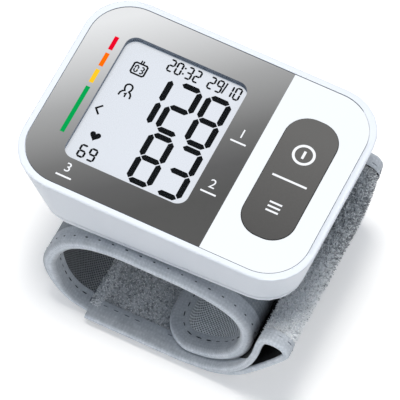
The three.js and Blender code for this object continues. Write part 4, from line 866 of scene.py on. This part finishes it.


# The cuff thread's dark colour also holds painted shade for its stitch holes.
dark_thread_and_hole_shade = plain_finish("twisted_dark_thread", "#3b4046", "#2a2e33", 0.8, 0.0, 0.3, 5e-5)
grey_thread = plain_finish("twisted_grey_thread", "#7c838a", "#5c6269", 0.8, 0.0, 0.3, 5e-5)
ROW_IN, ROW_OUT = 0.0037, 0.0022
inner_row, outer_row = [], []
for a, y, na, ny in cuff_edge:
    inner_row.append(on_route(roll, a + na * ROW_IN, y + ny * ROW_IN, cuff_depth(a) + 0.00008))
    outer_row.append(on_route(roll, a + na * ROW_OUT, y + ny * ROW_OUT, -0.00004))
sewn("cuff_stitches_inner", [inner_row], pitch=0.0031, length=0.0019, radius=0.00018, thread=dark_thread_and_hole_shade,
     body="case")
sewn("cuff_stitches_outer", [outer_row], pitch=0.0040, length=0.0010, radius=0.00024, thread=dark_thread_and_hole_shade,
     body="case")


# Strap: a velour band sewn to the cuff's tail. It runs under the flap, up the right side, folds over at the
# top and comes back down and under to the tail. Pile faces outwards, the back is a black knit. It sits 2 mm
# forward of the cuff, and its fold is drawn in at the rear end.
FOLD_KNOTS = [
    (8.02, 3.85), (12.02, 3.85), (21.36, 5.95), (27.25, 10.49), (31.2, 16.7), (33.3, 23.87), (34.5, 31.2),
    (35.7, 33.95), (38.8, 35.1), (42.2, 34.2), (43.8, 31.6), (42.5, 27.8), (39.5, 22.3), (35.3, 15.26),
    (30.14, 7.94), (23.08, 2.51), (12.02, 0), (8.02, 0),
]
FOLD_STEPS = 12
fold = smooth_route(FOLD_KNOTS, FOLD_STEPS)[FOLD_STEPS:-FOLD_STEPS]
strap = route_of(np.vstack([[(-15.35, 3.85), (-10.5, 3.85)], fold, [(-6.6, 0), (-14.8, 0)]]))
STRAP_LENGTH = strap["a"][-1]
crest = strap["a"][np.argmax(strap["x"])]
FORWARD, LEAN, TUCK, TUCK_FOOT, TUCK_RUN = 0.0022, 0.036, 0.0022, 0.0156, 0.016
strap["lean"] = np.where(strap["a"] > crest, LEAN * (strap["x"].max() - strap["x"]), 0) - FORWARD
rise = np.clip(strap["z"] / TUCK_FOOT - 1, 0, 1)
over = np.clip((strap["a"] - crest) / TUCK_RUN + 1, 0, 1)
strap["tuck"] = TUCK * rise * rise * (3 - 2 * rise) * over
PILE_HALF, OUTER_HALF, BAND_TOP, TAB_LENGTH = 0.0262, 0.0285, -0.0006, 0.0125


def band(name, start, end, half, top, under, pitch=0.0009, cols=34):
    a = np.linspace(start, end, int((end - start) / pitch))[:, None]
    y = np.linspace(-1, 1, cols)[None, :] * half(a)
    wave = 0.00012 * ripples(a + 0 * y, y + 0.2, 0.008, 11)
    upper = on_route(strap, a + 0 * y, y, top + wave)
    lower = on_route(strap, a + 0 * y, y, under + 0 * wave)
    return ring_mesh(name, np.concatenate([upper, lower[:, ::-1]], axis=1),
                     [False] * cols + [True] * cols)


# Velour: short pile with a fleck of light and dark hairs about 1 mm across, painted lighter towards the front
# as painted light, front_gain times at the front, with a smaller gain for the pressed velour. Each tuft has
# its own random tone, and is painted darker at its root, a painted shade between the tufts.
def velour_finish(name, light, dark, depth, tufted, front_gain):
    material, tree = new_finish(name)
    place = node(tree, "ShaderNodeTexCoord")
    hairs = node(tree, "ShaderNodeTexNoise",
                 {"Vector": place.outputs["Object"], "Scale": 1300.0, "Detail": 4.0, "Roughness": 0.7})
    nap = node(tree, "ShaderNodeTexNoise", {"Vector": place.outputs["Object"], "Scale": 180.0, "Detail": 3.0})
    cloud = node(tree, "ShaderNodeMath", {0: nap.outputs["Fac"], 1: 0.1, 2: hairs.outputs["Fac"]},
                 operation="MULTIPLY_ADD")
    spot = node(tree, "ShaderNodeSeparateXYZ", {0: place.outputs["Object"]})
    # Painted light: the colour is lightened towards the front of the strap, front_gain times at the front.
    painted_front_light = node(tree, "ShaderNodeMapRange",
                   {0: spot.outputs[1], 1: 0.004, 2: -0.030, 3: 0.9, 4: front_gain})
    fleck = node(tree, "ShaderNodeMapRange", {0: cloud.outputs[0], 1: 0.40, 2: 0.68, 3: 0.15})
    share = node(tree, "ShaderNodeMath", {0: fleck.outputs[0], 1: painted_front_light.outputs[0]}, operation="MULTIPLY")
    if tufted:
        shade = node(tree, "ShaderNodeAttribute", attribute_name="shade")
        tip = node(tree, "ShaderNodeAttribute", attribute_name="tip")
        # Painted shade: each tuft is darkened towards its root.
        painted_root_shade = node(tree, "ShaderNodeMapRange", {0: tip.outputs["Fac"], 3: 0.45, 4: 1.0})
        stark = node(tree, "ShaderNodeMapRange", {0: shade.outputs["Fac"], 1: 0.40, 2: 0.80, 4: 1.5})
        own = node(tree, "ShaderNodeMath", {0: stark.outputs[0], 1: painted_root_shade.outputs[0]}, operation="MULTIPLY")
        mixed = node(tree, "ShaderNodeMath", {0: share.outputs[0], 1: 0.42, 2: own.outputs[0]},
                     operation="MULTIPLY_ADD")
        share = node(tree, "ShaderNodeMapRange", {0: mixed.outputs[0], 1: 0.1, 2: 1.2})
    tone = node(tree, "ShaderNodeMix", {0: share.outputs[0], 6: linear(dark), 7: linear(light)},
                data_type="RGBA")
    relief = node(tree, "ShaderNodeBump",
                  {"Height": hairs.outputs["Fac"], "Distance": depth, "Strength": 0.8})
    skin = node(tree, "ShaderNodeBsdfPrincipled", {
        "Base Color": tone.outputs[2], "Roughness": 0.95, "IOR": 1.4, "Specular IOR Level": 0.2,
        "Sheen Weight": 0.8, "Sheen Roughness": 0.5, "Normal": relief.outputs[0]})
    node(tree, "ShaderNodeOutputMaterial", {"Surface": skin.outputs[0]})
    return material


velour = velour_finish("brushed_grey_velour", "#e2e5e6", "#7f8487", 3e-4, tufted=False, front_gain=4.6)
tuft_yarn = velour_finish("velour_tuft_yarn", "#fdfefe", "#6a6f72", 1e-4, tufted=True, front_gain=4.6)
pressed_velour = velour_finish("pressed_grey_velour", "#dde0e2", "#676c6f", 3e-4, tufted=False,
                               front_gain=1.4)
pressed_yarn = velour_finish("pressed_tuft_yarn", "#ffffff", "#6e7376", 1e-4, tufted=True, front_gain=2.6)
# The strap's black knit back; the same black is also painted shade on the tape backs and in the gap.
black_knit_and_shade = woven_finish("black_knit_backing", "#1b1d21", "#0b0c0e", thread_mm=0.6, depth=6e-5, sheen=0.05,
                          contrast=0.4)


# The length along the strap at which it reaches a height on its way up.
def rising(height):
    top = np.argmax(strap["z"])
    return np.interp(height, strap["z"][:top], strap["a"][:top])


hidden_join, gap_low = rising(0.030), rising(0.0065)
tail_start = STRAP_LENGTH - TAB_LENGTH
inner_band = band("strap_inner_band", 0.0004, hidden_join, lambda a: PILE_HALF, BAND_TOP, -STRAP_T)
outer_band = band("strap_outer_band", hidden_join, tail_start, lambda a: OUTER_HALF, BAND_TOP, -STRAP_T)
tail_band = band("strap_tail_band", tail_start, STRAP_LENGTH - 0.0006, lambda a: OUTER_HALF, BAND_TOP,
                 -STRAP_T)

# Painted shadow: a strip of black knit on the pile where the strap runs deep in the gap beside the cuff.
gap_shade_strip = band("strap_grip_strip", gap_low, hidden_join,
                  lambda a: np.interp(a, [gap_low, gap_low + 0.018], [0.0258, 0.0316]), 0.00022, 0.00002)
gap_shade_strip.data.materials.append(black_knit_and_shade)
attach(gap_shade_strip, "case")


# Pile: the velour's loops of polyester yarn, up to 1.1 mm high on the fold and 0.6 mm where they are pressed.
# A tree scatters small tufts on the pile side of a cloth.
def pile_tree():
    tree, given = new_tree("velour_pile", (
        ("Cloth", "Geometry", None), ("Tufts per square metre", "Float", 3e6),
        ("Tuft height", "Float", 0.0008), ("Tuft radius", "Float", 0.0002), ("Seed", "Int", 3),
        ("Yarn", "Material", None)), "Pile")
    which = node(tree, "GeometryNodeInputMaterialIndex")
    pile_side = node(tree, "FunctionNodeCompare", {"A": which.outputs[0], "B": 0}, data_type="INT",
                     operation="EQUAL")
    spots = node(tree, "GeometryNodeDistributePointsOnFaces", {
        "Mesh": given.outputs["Cloth"], "Selection": pile_side.outputs[0],
        "Density": given.outputs["Tufts per square metre"], "Seed": given.outputs["Seed"]})
    tuft = node(tree, "GeometryNodeMeshCone", {
        "Vertices": 3, "Radius Top": 0.12, "Radius Bottom": 1.0, "Depth": 1.0}, fill_type="NONE")
    up_tuft = node(tree, "ShaderNodeSeparateXYZ", {0: node(tree, "GeometryNodeInputPosition").outputs[0]})
    marked = node(tree, "GeometryNodeStoreNamedAttribute", {
        "Geometry": tuft.outputs["Mesh"], "Name": "tip", "Value": up_tuft.outputs[2]}, data_type="FLOAT",
                  domain="POINT")
    low = node(tree, "FunctionNodeRandomValue", {"Seed": 21}, data_type="FLOAT_VECTOR")
    low.inputs[0].default_value = (-0.8, -0.8, -3.1)
    low.inputs[1].default_value = (0.8, 0.8, 3.1)
    turned = node(tree, "FunctionNodeRotateRotation", {0: spots.outputs["Rotation"], 1: low.outputs[0]},
                  rotation_space="LOCAL")
    tall = node(tree, "FunctionNodeRandomValue", {"Seed": 22})
    tall.inputs[2].default_value = 0.55
    tall.inputs[3].default_value = 1.0
    high = node(tree, "ShaderNodeMath", {0: tall.outputs[1], 1: given.outputs["Tuft height"]},
                operation="MULTIPLY")
    size = node(tree, "ShaderNodeCombineXYZ", {
        0: given.outputs["Tuft radius"], 1: given.outputs["Tuft radius"], 2: high.outputs[0]})
    stood = node(tree, "GeometryNodeInstanceOnPoints", {
        "Points": spots.outputs["Points"], "Instance": marked.outputs[0], "Rotation": turned.outputs[0],
        "Scale": size.outputs[0]})
    tint = node(tree, "FunctionNodeRandomValue", {"Seed": 23})
    tinted = node(tree, "GeometryNodeStoreNamedAttribute", {
        "Geometry": stood.outputs[0], "Name": "shade", "Value": tint.outputs[1]}, data_type="FLOAT",
                  domain="INSTANCE")
    real = node(tree, "GeometryNodeRealizeInstances", {0: tinted.outputs[0]})
    dyed = node(tree, "GeometryNodeSetMaterial",
                {"Geometry": real.outputs[0], "Material": given.outputs["Yarn"]})
    node(tree, "NodeGroupOutput", {"Pile": dyed.outputs[0]})
    return tree


pile = pile_tree()
TUFT_R = 0.00024


def piled(name, cloth, seed, dense, tall, yarn):
    tufts = add_object(name, cloth.data.copy())
    grown(tufts, pile, {"Tufts per square metre": dense, "Tuft height": tall, "Tuft radius": TUFT_R,
                        "Seed": seed, "Yarn": yarn})
    return tufts


for cloth, face_cloth in ((inner_band, pressed_velour), (outer_band, velour), (tail_band, velour)):
    cloth.data.materials.append(face_cloth)
    cloth.data.materials.append(black_knit_and_shade)
outer_tufts = piled("strap_outer_pile", outer_band, seed=5, dense=4.4e6, tall=0.0011, yarn=tuft_yarn)
tail_tufts = piled("strap_tail_pile", tail_band, seed=6, dense=4.0e6, tall=0.0006, yarn=tuft_yarn)
inner_tufts = piled("strap_inner_pile", inner_band, seed=8, dense=4.2e6, tall=0.0006, yarn=pressed_yarn)
for made in (inner_band, outer_band, inner_tufts, outer_tufts):
    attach(made, "case")
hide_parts("strap_body")
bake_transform(tail_band)
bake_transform(tail_tufts)
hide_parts("pull_tab")


# Edge tapes of the strap: the same woven polyester binding as the cuff's, folded over both long edges and
# round the tail, and sewn through with a row of grey stitches. Its underside is black, painted shade.
def strap_edge(side, start, end):
    a = np.linspace(start, end, max(int((end - start) / 0.0009), 4))
    return np.stack([a, np.full(len(a), side * CUFF_HALF), np.zeros(len(a)), np.full(len(a), -side)], 1)


def strap_place(a, y, d):
    return on_route(strap, a, y, -d)


def strap_tape(a):
    return float(np.interp(a, [hidden_join - 0.012, hidden_join - 0.002], [0.0065, 0.0042]))


for side, name, node_name in ((-1, "front", "strap_binding_front"), (1, "rear", "strap_binding_rear")):
    tape = bound_edge("strap_edge_tape_" + name, strap_edge(side, 0.0002, tail_start), strap_place,
                      depth=lambda a: STRAP_T, proud=0.00010, wide=strap_tape, pitch=0.0035, seed=13,
                      painted_shade_back=True)
    dress(tape, tape_cloth, "case", "binding_tape", node_name)
    tape.data.materials.append(black_knit_and_shade)
TAIL_R = 0.006
tail_front = list(strap_edge(-1, tail_start, STRAP_LENGTH - TAIL_R))
for t in np.linspace(0, math.pi / 2, 14):
    na, ny = math.sin(t), math.cos(t)
    tail_front.append((STRAP_LENGTH - TAIL_R + TAIL_R * na, TAIL_R - CUFF_HALF - TAIL_R * ny, -na, ny))
tail_end = [(STRAP_LENGTH, y, -1, 0) for y in np.linspace(-0.025, 0.025, 56)]
tail_rear = [(a, -y, na, -ny) for a, y, na, ny in tail_front[::-1]]
tail_path = np.array(tail_front + tail_end + tail_rear)
tail_tape = bound_edge("strap_tail_tape", tail_path, strap_place, depth=lambda a: STRAP_T, proud=0.00010,
                       wide=strap_tape, pitch=0.0035, seed=17, painted_shade_back=True)
tail_tape.data.materials.append(tape_cloth)
tail_tape.data.materials.append(black_knit_and_shade)
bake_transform(tail_tape)
strap_rows = [[], []]
for a in np.arange(0.004, tail_start, 0.0009):
    for side, row in zip((-1, 1), strap_rows):
        row.append(on_route(strap, a, side * (CUFF_HALF - strap_tape(a) + 0.0013), -0.00004))
sewn("strap_stitches", strap_rows, pitch=0.0032, length=0.0020, radius=0.00018, thread=grey_thread,
     body="case")


# Seam welt: a rolled strip of the strap's velour that covers the join of cuff and strap, sewn down along its
# left side with grey thread.
WELT_X, WELT_Z, WELT_HALF, WELT_RISE = -0.0143, 0.0034, 0.0017, 0.0011
turn = np.linspace(0, 2 * math.pi, 21)[:-1]
welt_rings = []
for y in np.linspace(-0.0300, 0.0290, 100):
    slack = 0.00012 * ripples(y, 0.4, 0.004, 19)
    x = WELT_X + WELT_HALF * np.cos(turn)
    z = WELT_Z + (WELT_RISE + slack) * np.sin(turn)
    welt_rings.append(np.stack([x, np.full(len(turn), y), z], 1))
welt = ring_mesh("cuff_seam_welt", np.array(welt_rings))
dress(welt, pressed_velour, "case", "pile_cloth")
welt_tufts = piled("cuff_seam_welt_pile", welt, seed=9, dense=4.2e6, tall=0.0005, yarn=tuft_yarn)
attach(welt_tufts, "case")
SEAM_X, SEAM_Z = -0.0157, 0.0042
welt_row = [(SEAM_X, y, SEAM_Z) for y in np.arange(-0.029, 0.028, 0.0008)]
sewn("welt_stitches", [welt_row], pitch=0.0026, length=0.0017, radius=0.00016, thread=grey_thread,
     body="case")


# Hook pads: black moulded nylon hook tape, sewn under the flap and on the tail. The hooks are too fine to
# show, and are drawn as a grain of 0.8 mm.
hook_black = plain_finish("moulded_nylon_hooks", "#191b1e", "#0c0d0f", 0.6, 0.0, 0.8, 2e-4)
for name in ("flap_hook_pad", "tail_hook_pad"):
    dress(refined(name, 0.0, 0.0), hook_black, "case", "hook_black", name)
